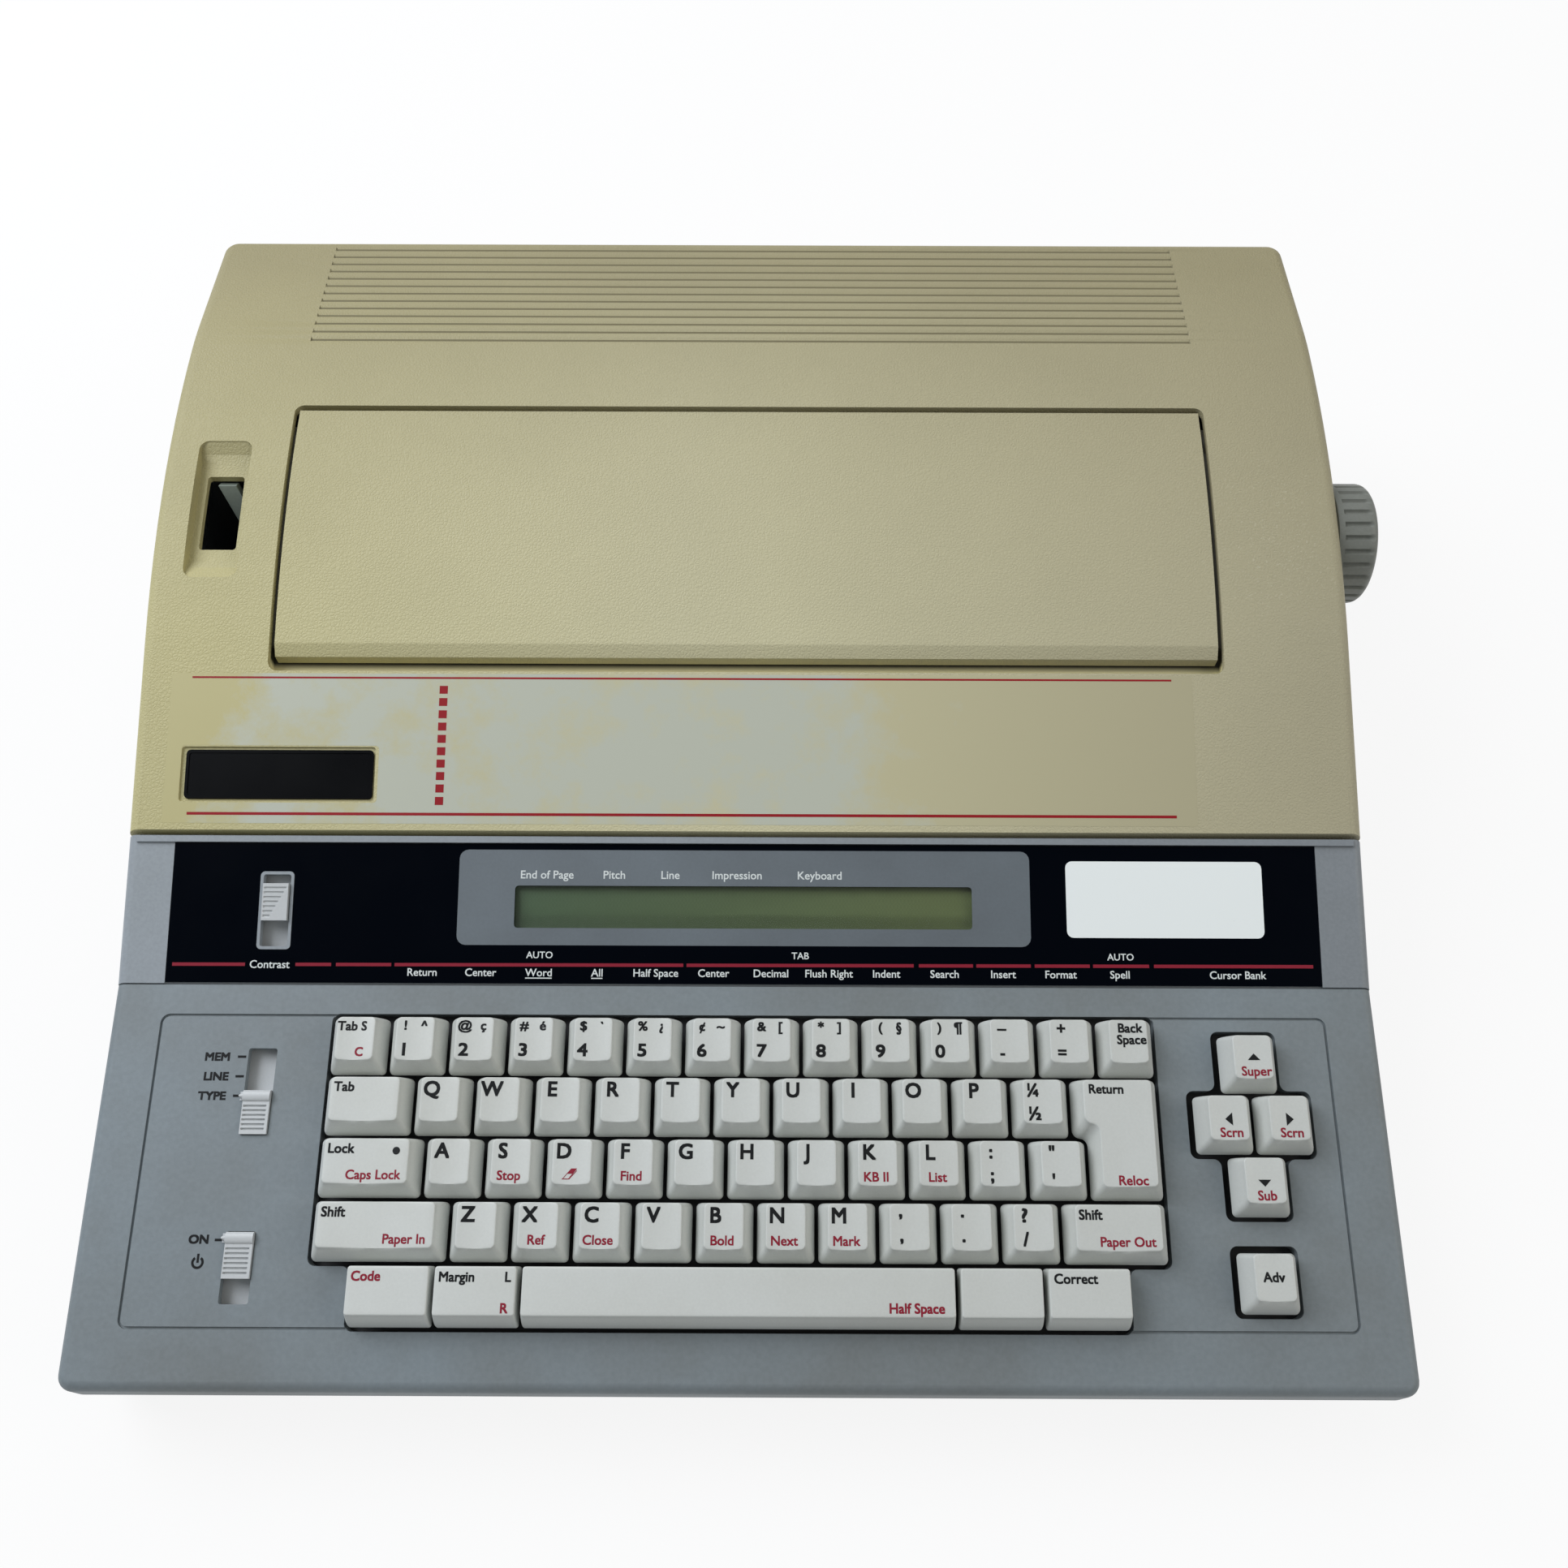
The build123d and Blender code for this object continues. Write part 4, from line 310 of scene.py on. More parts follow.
def leather_grained():
    """Beige with painted light by place, Voronoi creases as bump, paler flecks near the knob."""
    material, tree, place = new_material("leather_grained_abs")
    broad = add(tree, "ShaderNodeTexNoise", {
        "Vector": place, "Scale": 9.0, "Detail": 6.0, "Roughness": 0.62})
    spread = add(tree, "ShaderNodeMapRange", {
        "Value": broad.outputs["Fac"], "From Min": 0.35, "From Max": 0.68, "To Min": 1.03,
        "To Max": 0.96})
    shade = add(tree, "ShaderNodeVectorMath", {
        0: beige_with_painted_light(tree, place), "Scale": spread.outputs[0]}, operation="SCALE")
    # Paler flecks, mixed in near the corner by the knob.
    corner = add(tree, "ShaderNodeVectorMath", {
        0: place, 1: tuple(to_frame([186.0, 264.0, 110.0]))}, operation="DISTANCE")
    near = add(tree, "ShaderNodeMapRange", {"Value": corner.outputs["Value"], "From Min": 0.004,
                                            "From Max": 0.05, "To Min": 0.4, "To Max": 0.0})
    flecks = add(tree, "ShaderNodeTexNoise", {
        "Vector": place, "Scale": 1100.0, "Detail": 2.0, "Roughness": 0.6})
    worn = add(tree, "ShaderNodeMapRange", {
        "Value": flecks.outputs["Fac"], "From Min": 0.6, "From Max": 0.7})
    amount = add(tree, "ShaderNodeMath", {
        0: near.outputs[0], 1: worn.outputs[0]}, operation="MULTIPLY")
    colour = add(tree, "ShaderNodeMix", {
        "Factor": amount.outputs[0], "A": shade.outputs[0],
        "B": linear("#CFCBB2")}, data_type="RGBA")
    cells = add(tree, "ShaderNodeTexVoronoi", {
        "Vector": place, "Scale": 1000 / 1.2, "Randomness": 1.0}, feature="DISTANCE_TO_EDGE")
    crease = add(tree, "ShaderNodeMapRange", {
        "Value": cells.outputs["Distance"], "From Max": 0.25})
    bump = add(tree, "ShaderNodeBump", {
        "Height": crease.outputs[0], "Strength": 0.6, "Distance": 0.00012})
    gloss = add(tree, "ShaderNodeMapRange", {
        "Value": broad.outputs["Fac"], "To Min": 0.5, "To Max": 0.62})
    shader = add(tree, "ShaderNodeBsdfPrincipled", {
        "Base Color": colour.outputs["Result"], "Roughness": gloss.outputs[0], "IOR": 1.53,
        "Normal": bump.outputs["Normal"]})
    close(tree, shader)
    return material


def shaded_frame_finish():
    """Painted light in the finger channel at the front: a beige lighter than the cover, against
    the channel's shade; painted shade, mottled by a dust noise, where the lid covers it.
    """
    material, tree, place = new_material("frame_painted_light_and_shade")
    where = add(tree, "ShaderNodeSeparateXYZ", {"Vector": place})
    # Painted light in front of the lid's front edge, painted shade behind it.
    covered = add(tree, "ShaderNodeMapRange", {
        "Value": where.outputs["Y"], "From Min": 0.0205, "From Max": 0.0225})
    dust = add(tree, "ShaderNodeTexNoise", {"Vector": place, "Scale": 350.0, "Detail": 3.0})
    shaded_dust_tone = add(tree, "ShaderNodeMix", {"Factor": dust.outputs["Fac"], "A": linear("#423F32"),
                                       "B": linear("#2F2D24")}, data_type="RGBA")
    shade = add(tree, "ShaderNodeMix", {"Factor": covered.outputs[0], "A": linear("#E2DAAC"),
                                        "B": shaded_dust_tone.outputs["Result"]}, data_type="RGBA")
    close(tree, add(tree, "ShaderNodeBsdfPrincipled", {
        "Base Color": shade.outputs["Result"], "Roughness": 0.6, "IOR": 1.53}))
    return material


MATERIALS["cover_beige"] = leather_grained()
MATERIALS["frame_lit_and_shaded"] = shaded_frame_finish()
print("cover finishes", MATERIALS["cover_beige"].name, MATERIALS["frame_lit_and_shaded"].name)

# %% [markdown]
# ## Print, film and lens
# The display plate is polycarbonate film printed black from behind: nearly black, with a satin
# face and faint dust. Words on it and on the keys are screen-printed ink, thin and matte. The
# lens is a clear acrylic bar over a grey-green liquid crystal.

# %% Films, inks and lens
def film(name, tint, rough, dust, shine=0.35):
    """One dark or pale colour with a fine dust of a second, and fingerprints in its gloss."""
    material, tree, place = new_material(name)
    specks = add(tree, "ShaderNodeTexNoise", {
        "Vector": place, "Scale": 900.0, "Detail": 4.0, "Roughness": 0.8})
    few = add(tree, "ShaderNodeMapRange", {
        "Value": specks.outputs["Fac"], "From Min": 0.66, "From Max": 0.8, "To Max": 0.5})
    colour = add(tree, "ShaderNodeMix", {
        "Factor": few.outputs[0], "A": linear(tint), "B": linear(dust)}, data_type="RGBA")
    smears = add(tree, "ShaderNodeTexNoise", {"Vector": place, "Scale": 60.0, "Detail": 3.0})
    gloss = add(tree, "ShaderNodeMapRange", {
        "Value": smears.outputs["Fac"], "To Min": rough - 0.08, "To Max": rough + 0.08})
    shader = add(tree, "ShaderNodeBsdfPrincipled", {
        "Base Color": colour.outputs["Result"], "Roughness": gloss.outputs[0], "IOR": 1.45,
        "Specular IOR Level": shine})
    close(tree, shader)
    return material


def clear_lens():
    """Acrylic: transmissive, with light scratches in its gloss; light falls through it."""
    material, tree, place = new_material("clear_acrylic")
    scratches = add(tree, "ShaderNodeTexNoise", {"Vector": place, "Scale": 500.0, "Detail": 4.0})
    gloss = add(tree, "ShaderNodeMapRange", {
        "Value": scratches.outputs["Fac"], "To Min": 0.05, "To Max": 0.16})
    shader = add(tree, "ShaderNodeBsdfPrincipled", {
        "Base Color": linear("#F2F6EE"), "Roughness": gloss.outputs[0], "IOR": 1.49,
        "Transmission Weight": 1.0})
    rays = add(tree, "ShaderNodeLightPath", {})
    through = add(tree, "ShaderNodeBsdfTransparent", {"Color": linear("#EEF3EA")})
    mix = add(tree, "ShaderNodeMixShader", {
        0: rays.outputs["Is Shadow Ray"], 1: shader.outputs[0], 2: through.outputs[0]})
    close(tree, mix)
    return material


def liquid_crystal():
    """Matte grey-green, bluer at its left end and yellower at its right, with a fine grid."""
    material, tree, place = new_material("liquid_crystal")
    across = add(tree, "ShaderNodeSeparateXYZ", {"Vector": place})
    side = add(tree, "ShaderNodeMapRange", {
        "Value": across.outputs["X"], "From Min": -0.08, "From Max": 0.065})
    shade = add(tree, "ShaderNodeMix", {"Factor": side.outputs[0], "A": linear("#51664D"),
                                        "B": linear("#6A744C")}, data_type="RGBA")
    cells = add(tree, "ShaderNodeTexChecker", {
        "Vector": place, "Scale": 1000 / 0.6, "Color1": (1, 1, 1, 1),
        "Color2": (0.93, 0.93, 0.93, 1)})
    colour = add(tree, "ShaderNodeVectorMath", {
        0: shade.outputs["Result"], 1: cells.outputs["Color"]}, operation="MULTIPLY")
    close(tree, add(tree, "ShaderNodeBsdfPrincipled", {
        "Base Color": colour.outputs[0], "Roughness": 0.45}))
    return material


MATERIALS["overlay_black"] = film("printed_polycarbonate", "#01040B", 0.24, "#1B2028", 0.06)
MATERIALS["display_green"] = liquid_crystal()
MATERIALS["lens"] = clear_lens()
INK_WHITE = film("screen_print_white", "#DCE1DF", 0.55, "#A3A9A8")
INK_BLACK = film("screen_print_black", "#0E1012", 0.5, "#3A3D40")
INK_RED = film("screen_print_red", "#8E1B30", 0.5, "#A8505C")
INK_DARK = film("deck_print_dark", "#090B0D", 0.6, "#26292C")
print("films and inks ready")

# %% [markdown]
# ## Rubber, steel and circuit boards
# Feet and rollers are moulded or ground rubber, matte with a dull grey bloom. Rods and plates are
# zinc-plated or ground steel, whose lines run across them. The boards are glass-epoxy under green
# solder resist, with darker tracks beneath.

# %% Inner materials
def brushed_steel():
    """Metal whose noise is stretched along x, so that it reads as lines left by grinding."""
    material, tree, place = new_material("ground_steel")
    lines = add(tree, "ShaderNodeMapping", {"Vector": place, "Scale": (40.0, 1800.0, 1800.0)})
    grind = add(tree, "ShaderNodeTexNoise", {
        "Vector": lines.outputs[0], "Scale": 1.0, "Detail": 3.0})
    gloss = add(tree, "ShaderNodeMapRange", {
        "Value": grind.outputs["Fac"], "To Min": 0.25, "To Max": 0.45})
    shade = add(tree, "ShaderNodeMix", {
        "Factor": grind.outputs["Fac"], "A": linear("#B9BABC"),
        "B": linear("#A5A7A9")}, data_type="RGBA")
    shader = add(tree, "ShaderNodeBsdfPrincipled", {
        "Base Color": shade.outputs["Result"], "Metallic": 1.0, "Roughness": gloss.outputs[0]})
    close(tree, shader)
    return material


def solder_resist():
    """Green lacquer with a darker pattern of straight tracks 2.5 mm apart."""
    material, tree, place = new_material("glass_epoxy_board")
    tracks = add(tree, "ShaderNodeTexBrick", {
        "Vector": place, "Color1": linear("#2E5A39"), "Color2": linear("#27502F"),
        "Mortar": linear("#1E4128"), "Scale": 1000 / 2.5, "Mortar Size": 0.06})
    bump = add(tree, "ShaderNodeBump", {
        "Height": tracks.outputs["Fac"], "Strength": 0.3, "Distance": 0.0001})
    shader = add(tree, "ShaderNodeBsdfPrincipled", {
        "Base Color": tracks.outputs["Color"], "Roughness": 0.35,
        "Normal": bump.outputs["Normal"]})
    close(tree, shader)
    return material


MATERIALS["rubber_black"] = moulded("nitrile_rubber", "#232425", "#2C2D2E", 0.75, 0.9, 0.03)
MATERIALS["steel"] = brushed_steel()
MATERIALS["board_green"] = solder_resist()

slot_of = {row["node"]: row["material_slot"] for row in frame["record"]["subparts"]}
for node, obj in frame["nodes"].items():
    obj.data.materials.clear()
    # The lid frame takes the frame finish of painted light and shade instead of its cover beige.
    finish = "frame_lit_and_shaded" if node == "lid_frame" else slot_of[node]
    obj.data.materials.append(MATERIALS[finish])
body_with = {node: body for body, nodes in frame["record"]["behaviour"]["bodies"].items()
             for node in nodes}
print("finishes laid on", len(slot_of), "nodes")

# %% [markdown]
# ## Soft edges on the mouldings
# No moulding has a knife edge: its tool is rounded by a few tenths of a millimetre, and that thin
# highlight is what tells the eye that the piece is real. The CAD solids have their large
# roundings already. A merged copy of each takes the small one from a Bevel modifier and stands for
# the node.

# %% Mouldings with softened edges
def softened(node, width_mm, chosen=None):
    """Merged copy of a node, flat faces joined again, with a narrow bevel on its sharp edges."""
    mesh = frame["nodes"][node].data.copy()
    work = bmesh.new()
    work.from_mesh(mesh)
    bmesh.ops.remove_doubles(work, verts=work.verts, dist=2e-6)
    bmesh.ops.dissolve_limit(work, angle_limit=radians(0.4), verts=work.verts, edges=work.edges)
    weight = work.edges.layers.float.new("bevel_weight_edge")
    for edge in work.edges:
        if len(edge.link_faces) == 2 and edge.calc_face_angle() > radians(40):
            middle = (edge.verts[0].co + edge.verts[1].co) / 2
            edge[weight] = 1.0 if chosen is None or chosen(middle) else 0.0
    work.to_mesh(mesh)
    work.free()
    mesh.shade_smooth()
    mesh.set_sharp_from_angle(angle=radians(32))
    piece = bpy.data.objects.new(node + "_soft", mesh)
    bpy.context.scene.collection.objects.link(piece)
    if width_mm:
        bevel = piece.modifiers.new("tool_radius", "BEVEL")
        bevel.width = width_mm / 1000
        bevel.segments = 2
        bevel.limit_method = "WEIGHT"
        bevel.use_clamp_overlap = True
    even = piece.modifiers.new("even_shading", "WEIGHTED_NORMAL")
    even.keep_sharp = True
    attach(piece, body_with[node])
    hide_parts(node)
    slot_of[node]
    return piece


# %% Which edges are rounded, and by how much
GROOVED_FROM, GROOVED_TO, GROOVED_HALF = 345.0, 410.0, 172.0
REAR_SEAM = 398.0


def outside_edge(middle):
    """True for edges within 1 mm of the cover's outside, but for the grooves at its rear."""
    x, y, z = (np.array(middle) - SHIFT) * 1000
    grooved = GROOVED_FROM < y < GROOVED_TO and abs(x) < GROOVED_HALF
    return not grooved and (z > cover_z(y) - 1.0 or abs(x) > 205 or y > GROOVED_TO or y < 172)


def off_the_seam(middle):
    """True for edges away from the seam between the lower case and its rear panel."""
    return abs((middle.y - SHIFT[1]) * 1000 - REAR_SEAM) > 0.3


for node, width in {
    "lower_case": 0.35, "base_pan": 0.35, "keyboard_housing": 0.35, "display_bezel": 0.3,
    "display_overlay": 0.12, "top_cover": 0.4, "access_lid": 0.35, "rubber_feet": 0.8,
    "cord_gland": 0.3, "chassis_frame": 0.2, "platen_gear": 0.0, "feed_pinion": 0.0,
    "carriage": 0.3, "ribbon_cassette": 0.4, "drive_motors": 0.4, "print_wheel_motor": 0.4,
    "platen_roller": 0.3, "circuit_boards": 0.0, "transformer": 0.4, "lid_frame": 0.0,
    "lever_tray": 0.0, "paper_bail": 0.0, "paper_chute": 0.2, "slide_switches": 0.2,
    "release_lever": 0.6,
}.items():
    soft = softened(node, width, {"top_cover": outside_edge,
                                  "lower_case": off_the_seam}.get(node))
    print("softened", node, len(soft.data.polygons), "faces")

# %% [markdown]
# ## Surfaces on a grid
# Every new shape below is a grid of points: the rows are closed loops, one after another, and
# quads join each loop to the next. The two end loops are filled. Several such shells make one
# piece, such as the fourteen caps of a row.

# %% Grid shells
def box_corners(x0, x1, y0, y1):
    """Corners of a rectangle, turning left."""
    return [(x0, y0), (x1, y0), (x1, y1), (x0, y1)]


def between(number):
    """Quads that join each row of point numbers to the next; each row is a closed loop."""
    after = np.roll(number, -1, axis=1)
    return np.stack([number[:-1], after[:-1], after[1:], number[1:]], -1).reshape(-1, 4).tolist()


def numbered(loops):
    """Loops of shape (rows, points, 3) and the number of each point in them."""
    loops = np.asarray(loops, float)
    return loops, np.arange(loops.shape[0] * loops.shape[1]).reshape(loops.shape[:2])


def shell(loops):
    """Closed skin over loops: quads between the rows, and both end loops filled."""
    loops, number = numbered(loops)
    return loops.reshape(-1, 3), between(number) + [number[0, ::-1].tolist(), number[-1].tolist()]


def tube(loops):
    """Closed band over loops: the last row joins the first."""
    loops, number = numbered(loops)
    return loops.reshape(-1, 3), between(np.vstack([number, number[:1]]))


def hollow(outside, inner):
    """Opens the first end of a shell and joins it to an inner cup of loops."""
    points, faces = outside
    inner, number = numbered(inner)
    count = number.shape[1]
    number = number + len(points)
    faces = [face for face in faces if not (len(face) > 4 and max(face) < count)]
    faces += between(np.vstack([np.arange(count), number])) + [number[-1].tolist()]
    return np.concatenate([points, inner.reshape(-1, 3)]), faces


def lift(loops, surface):
    """Pairs of a flat outline and its height, as rows of points on a surface."""
    rows = np.array([np.column_stack([flat, np.broadcast_to(n, len(flat))]) for flat, n in loops])
    return surface(*np.moveaxis(rows, -1, 0))


def joined(shells):
    """Several shells as one: each one's point numbers move up by the points before it."""
    starts = np.cumsum([0] + [len(points) for points, _ in shells])
    faces = [[int(i) + int(start) for i in face]
             for start, (_, group) in zip(starts, shells) for face in group]
    return np.concatenate([points for points, _ in shells]), faces


print("quads in a tube of 4 loops of 8 points", len(tube(np.zeros((4, 8, 3)))[1]))

# %% One piece from its shells
def make(name, shells, body, material, stands_for=(), sharp=35):
    """Mesh piece from shells in case measure, smooth but for edges over the sharp angle."""
    points, faces = joined(shells)
    mesh = bpy.data.meshes.new(name)
    mesh.from_pydata(to_frame(points), [], faces)
    work = bmesh.new()
    work.from_mesh(mesh)
    bmesh.ops.remove_doubles(work, verts=work.verts, dist=1e-7)
    bmesh.ops.recalc_face_normals(work, faces=work.faces)
    work.to_mesh(mesh)
    work.free()
    mesh.shade_smooth()
    mesh.set_sharp_from_angle(angle=radians(sharp))
    mesh.materials.append(material)
    piece = bpy.data.objects.new(name, mesh)
    bpy.context.scene.collection.objects.link(piece)
    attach(piece, body)
    if stands_for:
        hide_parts(*stands_for)
    print(name, len(mesh.polygons), "faces")
    return piece


# %% Rounded outlines
def rounded_outline(corners, radii, arc=6, side=8):
    """Polygon with arcs for corners: points along each arc, then along each straight side."""
    corners = np.asarray(corners, float)
    before, after = np.roll(corners, 1, axis=0), np.roll(corners, -1, axis=0)
    inward = (before - corners) / np.linalg.norm(before - corners, axis=1, keepdims=True)
    onward = (after - corners) / np.linalg.norm(after - corners, axis=1, keepdims=True)
    half = np.arccos(np.clip((inward * onward).sum(1), -1, 1)) / 2
    reach = np.asarray(radii, float) / np.tan(half)
    start, end = corners + inward * reach[:, None], corners + onward * reach[:, None]
    middle = (inward + onward) / np.linalg.norm(inward + onward, axis=1, keepdims=True)
    centre = corners + middle * (np.asarray(radii, float) / np.sin(half))[:, None]
    a, b = start - centre, end - centre
    turn = (np.pi - 2 * half)[:, None, None]
    t = np.linspace(0, 1, arc + 1)[None, :, None]
    bend = (a[:, None] * np.sin((1 - t) * turn) + b[:, None] * np.sin(t * turn)) / np.sin(turn)
    curve = centre[:, None] + bend
    far = np.roll(start, -1, axis=0)
    u = np.linspace(0, 1, side + 1)[1:-1][None, :, None]
    straight = end[:, None] * (1 - u) + far[:, None] * u
    return np.concatenate([curve, straight], axis=1).reshape(-1, 2)


print("points round a square", len(rounded_outline(box_corners(0, 1, 0, 1), [0.2] * 4)))

# %% [markdown]
# ## Key caps
# A cap is a hollow PBT box whose skirts lean in, a little convex, to a dished top that a finger
# finds without looking. A thin rolled edge runs round the dish and catches the light. The surface
# is worked out by two parameters: the way round the outline, and the way up the skirt, over the
# edge and across the dish to its middle, then back down inside.

# %% Cap plans
PITCH, GAP, KEYS_TOP = 19.05, 1.15, 113.6
LIFT, TALL = 1.0, 8.0
SIDE_IN, FRONT_IN, BACK_IN, DISH = 2.75, 3.9, 0.3, 0.6
EDGE, CAP_WALL, CAP_HOLLOW = 0.45, 1.3, 5.6
STEP_RADIUS = 2.6
STEM, STEM_LOW = 5.0, -9.0


def cap_edges(row, unit, width):
    """Plan of a cap on the deck: left, right, front, back."""
    left = (unit - 7) * PITCH + GAP / 2
    front = KEYS_TOP - row * PITCH
    return left, left + width * PITCH - GAP, front, front + PITCH - GAP


def plan(parts, side, front, back):
    """Corners of a cap's outline drawn in from its skirt; two parts make the stepped cap."""
    x0, x1, y0, y1 = parts[0]
    if len(parts) == 1:
        return box_corners(x0 + side, x1 - side, y0 + front, y1 - back)
    low_x, _, low_y, _ = parts[1]
    return [(low_x + side, low_y + front), (x1 - side, low_y + front), (x1 - side, y1 - back),
            (x0 + side, y1 - back), (x0 + side, y0 + front), (low_x + side, y0 + front)]


def top_height(parts, x, dish):
    """Height of the dished top: a parabola across the key, lowest in its middle."""
    left, right = parts[0][0] + SIDE_IN, parts[0][1] - SIDE_IN
    middle, half = (left + right) / 2, (right - left) / 2
    return LIFT + TALL - dish * np.clip(1 - ((x - middle) / half) ** 2, 0, 1)


print("plan of the first number key", np.round(cap_edges(1, 0, 1), 2))

# %% Cap skin and stem
def cap(parts, side_in=SIDE_IN, front_in=FRONT_IN, back_in=BACK_IN, dish=DISH, radius=1.5):
    """Skirt inset grows with the 1.5 power of the height, then edge, dish and inner wall."""
    insets = np.array([side_in, front_in, back_in])
    radii = np.full(len(plan(parts, 0, 0, 0)), radius)
    radii[4:] = STEP_RADIUS
    shoulder = LIFT + TALL - dish * 0.35 - EDGE * 0.8
    loops = []
    for t in np.linspace(0, 1, 7):
        loops.append((rounded_outline(plan(parts, *insets * t**1.5), radii),
                      LIFT + (shoulder - LIFT) * t))
    for t in (0.25, 0.5, 0.75, 1.0):
        rolled = EDGE * (1 - cos(t * pi / 2)) * 1.2
        rim = rounded_outline(plan(parts, *insets + rolled), np.maximum(radii - rolled, 0.25))
        rise = top_height(parts, rim[:, 0], dish) - shoulder
        loops.append((rim, shoulder + rise * sin(t * pi / 2)))
    centre = np.mean(plan(parts, *insets), axis=0) if len(parts) == 1 else np.array(
        [(parts[1][0] + parts[0][1]) / 2, (parts[0][2] + parts[0][3]) / 2])
    for t in (0.85, 0.65, 0.45, 0.25, 0.1, 0.02):
        flat = centre + (rim - centre) * t
        loops.append((flat, top_height(parts, flat[:, 0], dish)))
    inner = [(rounded_outline(plan(parts, *CAP_WALL + insets * t**1.5), [0.4] * len(radii)),
              LIFT + CAP_HOLLOW * t) for t in np.linspace(0, 1, 3)]
    return hollow(shell(lift(loops, on_deck)), lift(inner, on_deck))


def stem(x, s):
    """Square post from under the top down through the deck, with eased corners."""
    half = STEM / 2
    box = rounded_outline(box_corners(x - half, x + half, s - half, s + half), [0.4] * 4,
                          arc=2, side=1)
    return shell(lift([(box, STEM_LOW), (box, LIFT + CAP_HOLLOW + 0.1)], on_deck))


print("faces of one cap", len(cap([cap_edges(1, 0, 1)])[1]), "and stem", len(stem(0, 0)[1]))

# %% Every key
KEY_NODES = {
    "number_keys": [(1, u, 1) for u in range(14)],
    "upper_letter_keys": [(2, 1.5 + u, 1) for u in range(11)],
    "home_letter_keys": [(3, 1.75 + u, 1) for u in range(11)],
    "lower_letter_keys": [(4, 2.25 + u, 1) for u in range(10)],
    "tab_key": [(2, 0, 1.5)], "lock_key": [(3, 0, 1.75)], "left_shift_key": [(4, 0, 2.25)],
    "right_shift_key": [(4, 12.25, 1.75)], "cursor_up_key": [(1.25, 15.06, 1)],
    "cursor_left_key": [(2.25, 14.56, 1)], "cursor_right_key": [(2.25, 15.56, 1)],
    "cursor_down_key": [(3.25, 15.06, 1)], "advance_key": [(4.75, 15.06, 1)],
}
BAR_NODES = {"code_key": (5, 0.7, 1.4), "margin_key": (5, 2.1, 1.4), "space_bar": (5, 3.5, 7),
             "erase_key": (5, 10.5, 1.4), "correct_key": (5, 11.9, 1.4)}
WHITE = MATERIALS["key_white"]

for node, places in KEY_NODES.items():
    shells = []
    for row, unit, width in places:
        edges = cap_edges(row, unit, width)
        shells.append(cap([edges]))
        shells.append(stem((edges[0] + edges[1]) / 2, (edges[2] + edges[3]) / 2))
    make(node + "_caps", shells, body_with[node], WHITE, (node,))
for node, place in BAR_NODES.items():
    edges = cap_edges(*place)
    shells = [cap([edges], side_in=0.35, front_in=3.6, back_in=0.1, dish=0.0, radius=0.9)]
    middle = ((edges[0] + edges[1]) / 2, (edges[2] + edges[3]) / 2)
    offsets = (-50.8, 0, 50.8) if node == "space_bar" else (0,)
    shells += [stem(middle[0] + dx, middle[1]) for dx in offsets]
    make(node + "_cap", shells, body_with[node], WHITE, (node,))
RETURN = [cap_edges(2, 12.5, 1.5), cap_edges(3, 12.75, 1.25)]
make("return_key_cap",
     [cap(RETURN), stem((RETURN[1][0] + RETURN[1][1]) / 2, RETURN[1][2] + PITCH)],
     body_with["return_key"], WHITE, ("return_key",))

# %% [markdown]
# ## Words on the keys and the panel
# Legends are printed nearly flush with the surface. Each word starts as Blender's own letters,
# becomes a mesh, and is then laid point by point on the surface below it, a twentieth of a
# millimetre proud, so that it follows the dish of its key.

# %% Lettering
probe = bpy.data.curves.new("letter_probe", "FONT")
probe.body = "H"
probe_object = bpy.data.objects.new("letter_probe", probe)
letter_mesh = bpy.data.meshes.new_from_object(probe_object)
CAPITAL = max(v.co.y for v in letter_mesh.vertices)
bpy.data.objects.remove(probe_object)
print("capital height at size one", round(CAPITAL, 4))


def words(text, tall, x, y, surface, align="CENTER", bold=0.08, proud=0.05,
          underline=False, wide=1.0):
    """Letters of a height in mm, centred on y, printed four times a shift of bold apart."""
    curve = bpy.data.curves.new("word", "FONT")
    curve.body = text
    curve.align_x = align
    curve.extrude = 0.05
    curve.resolution_u = 3
    holder = bpy.data.objects.new("word", curve)
    mesh = bpy.data.meshes.new_from_object(holder)
    points = np.empty(len(mesh.vertices) * 3)
    mesh.vertices.foreach_get("co", points)
    points = points.reshape(-1, 3)
    faces = [list(p.vertices) for p in mesh.polygons]
    bpy.data.objects.remove(holder)
    bpy.data.meshes.remove(mesh)
    scale = tall / CAPITAL
    shells = []
    for print_x, print_y, rise in ((-1, -1, 0.0), (1, -1, 0.006), (-1, 1, 0.012), (1, 1, 0.018)):
        u = x + points[:, 0] * scale * wide + print_x * bold * tall / 2
        v = y + (points[:, 1] - CAPITAL / 2) * scale + print_y * bold * tall / 2
        n = np.where(points[:, 2] > 0, proud + rise, -0.12)
        shells.append((surface(u, v, n), faces))
    if underline:
        shells.append(plate(box_corners(u.min(), u.max(), y - tall * 0.82, y - tall * 0.68),
                            0.0, surface, proud=proud))
    return shells


# %% Printed patches
def plate(corners, radius, surface, proud=0.06, depth=0.12, side=10):
    """Flat printed patch or thin plate with rounded corners, laid on a surface."""
    flat = rounded_outline(corners, [max(radius, 0.01)] * len(corners), arc=4, side=side)
    return shell(lift([(flat, -depth), (flat, proud)], surface))


def frame_plate(outer, inner, radius, surface, proud, depth=0.12):
    """Flat ring between two rounded outlines of the same kind, laid on a surface."""
    wide, narrow = (rounded_outline(c, [r] * 4, arc=4, side=10) for c, r in zip(
        (outer, inner), radius))
    return tube(lift([(wide, -depth), (wide, proud), (narrow, proud), (narrow, -depth)], surface))


# %% Places on a key
def key_surface(parts, dish=DISH):
    """Maps a point of the deck plan on to the key's dished top."""
    def lay(x, y, n):
        return on_slope(DECK, x, y, top_height(parts, np.asarray(x), dish) + n)
    return lay


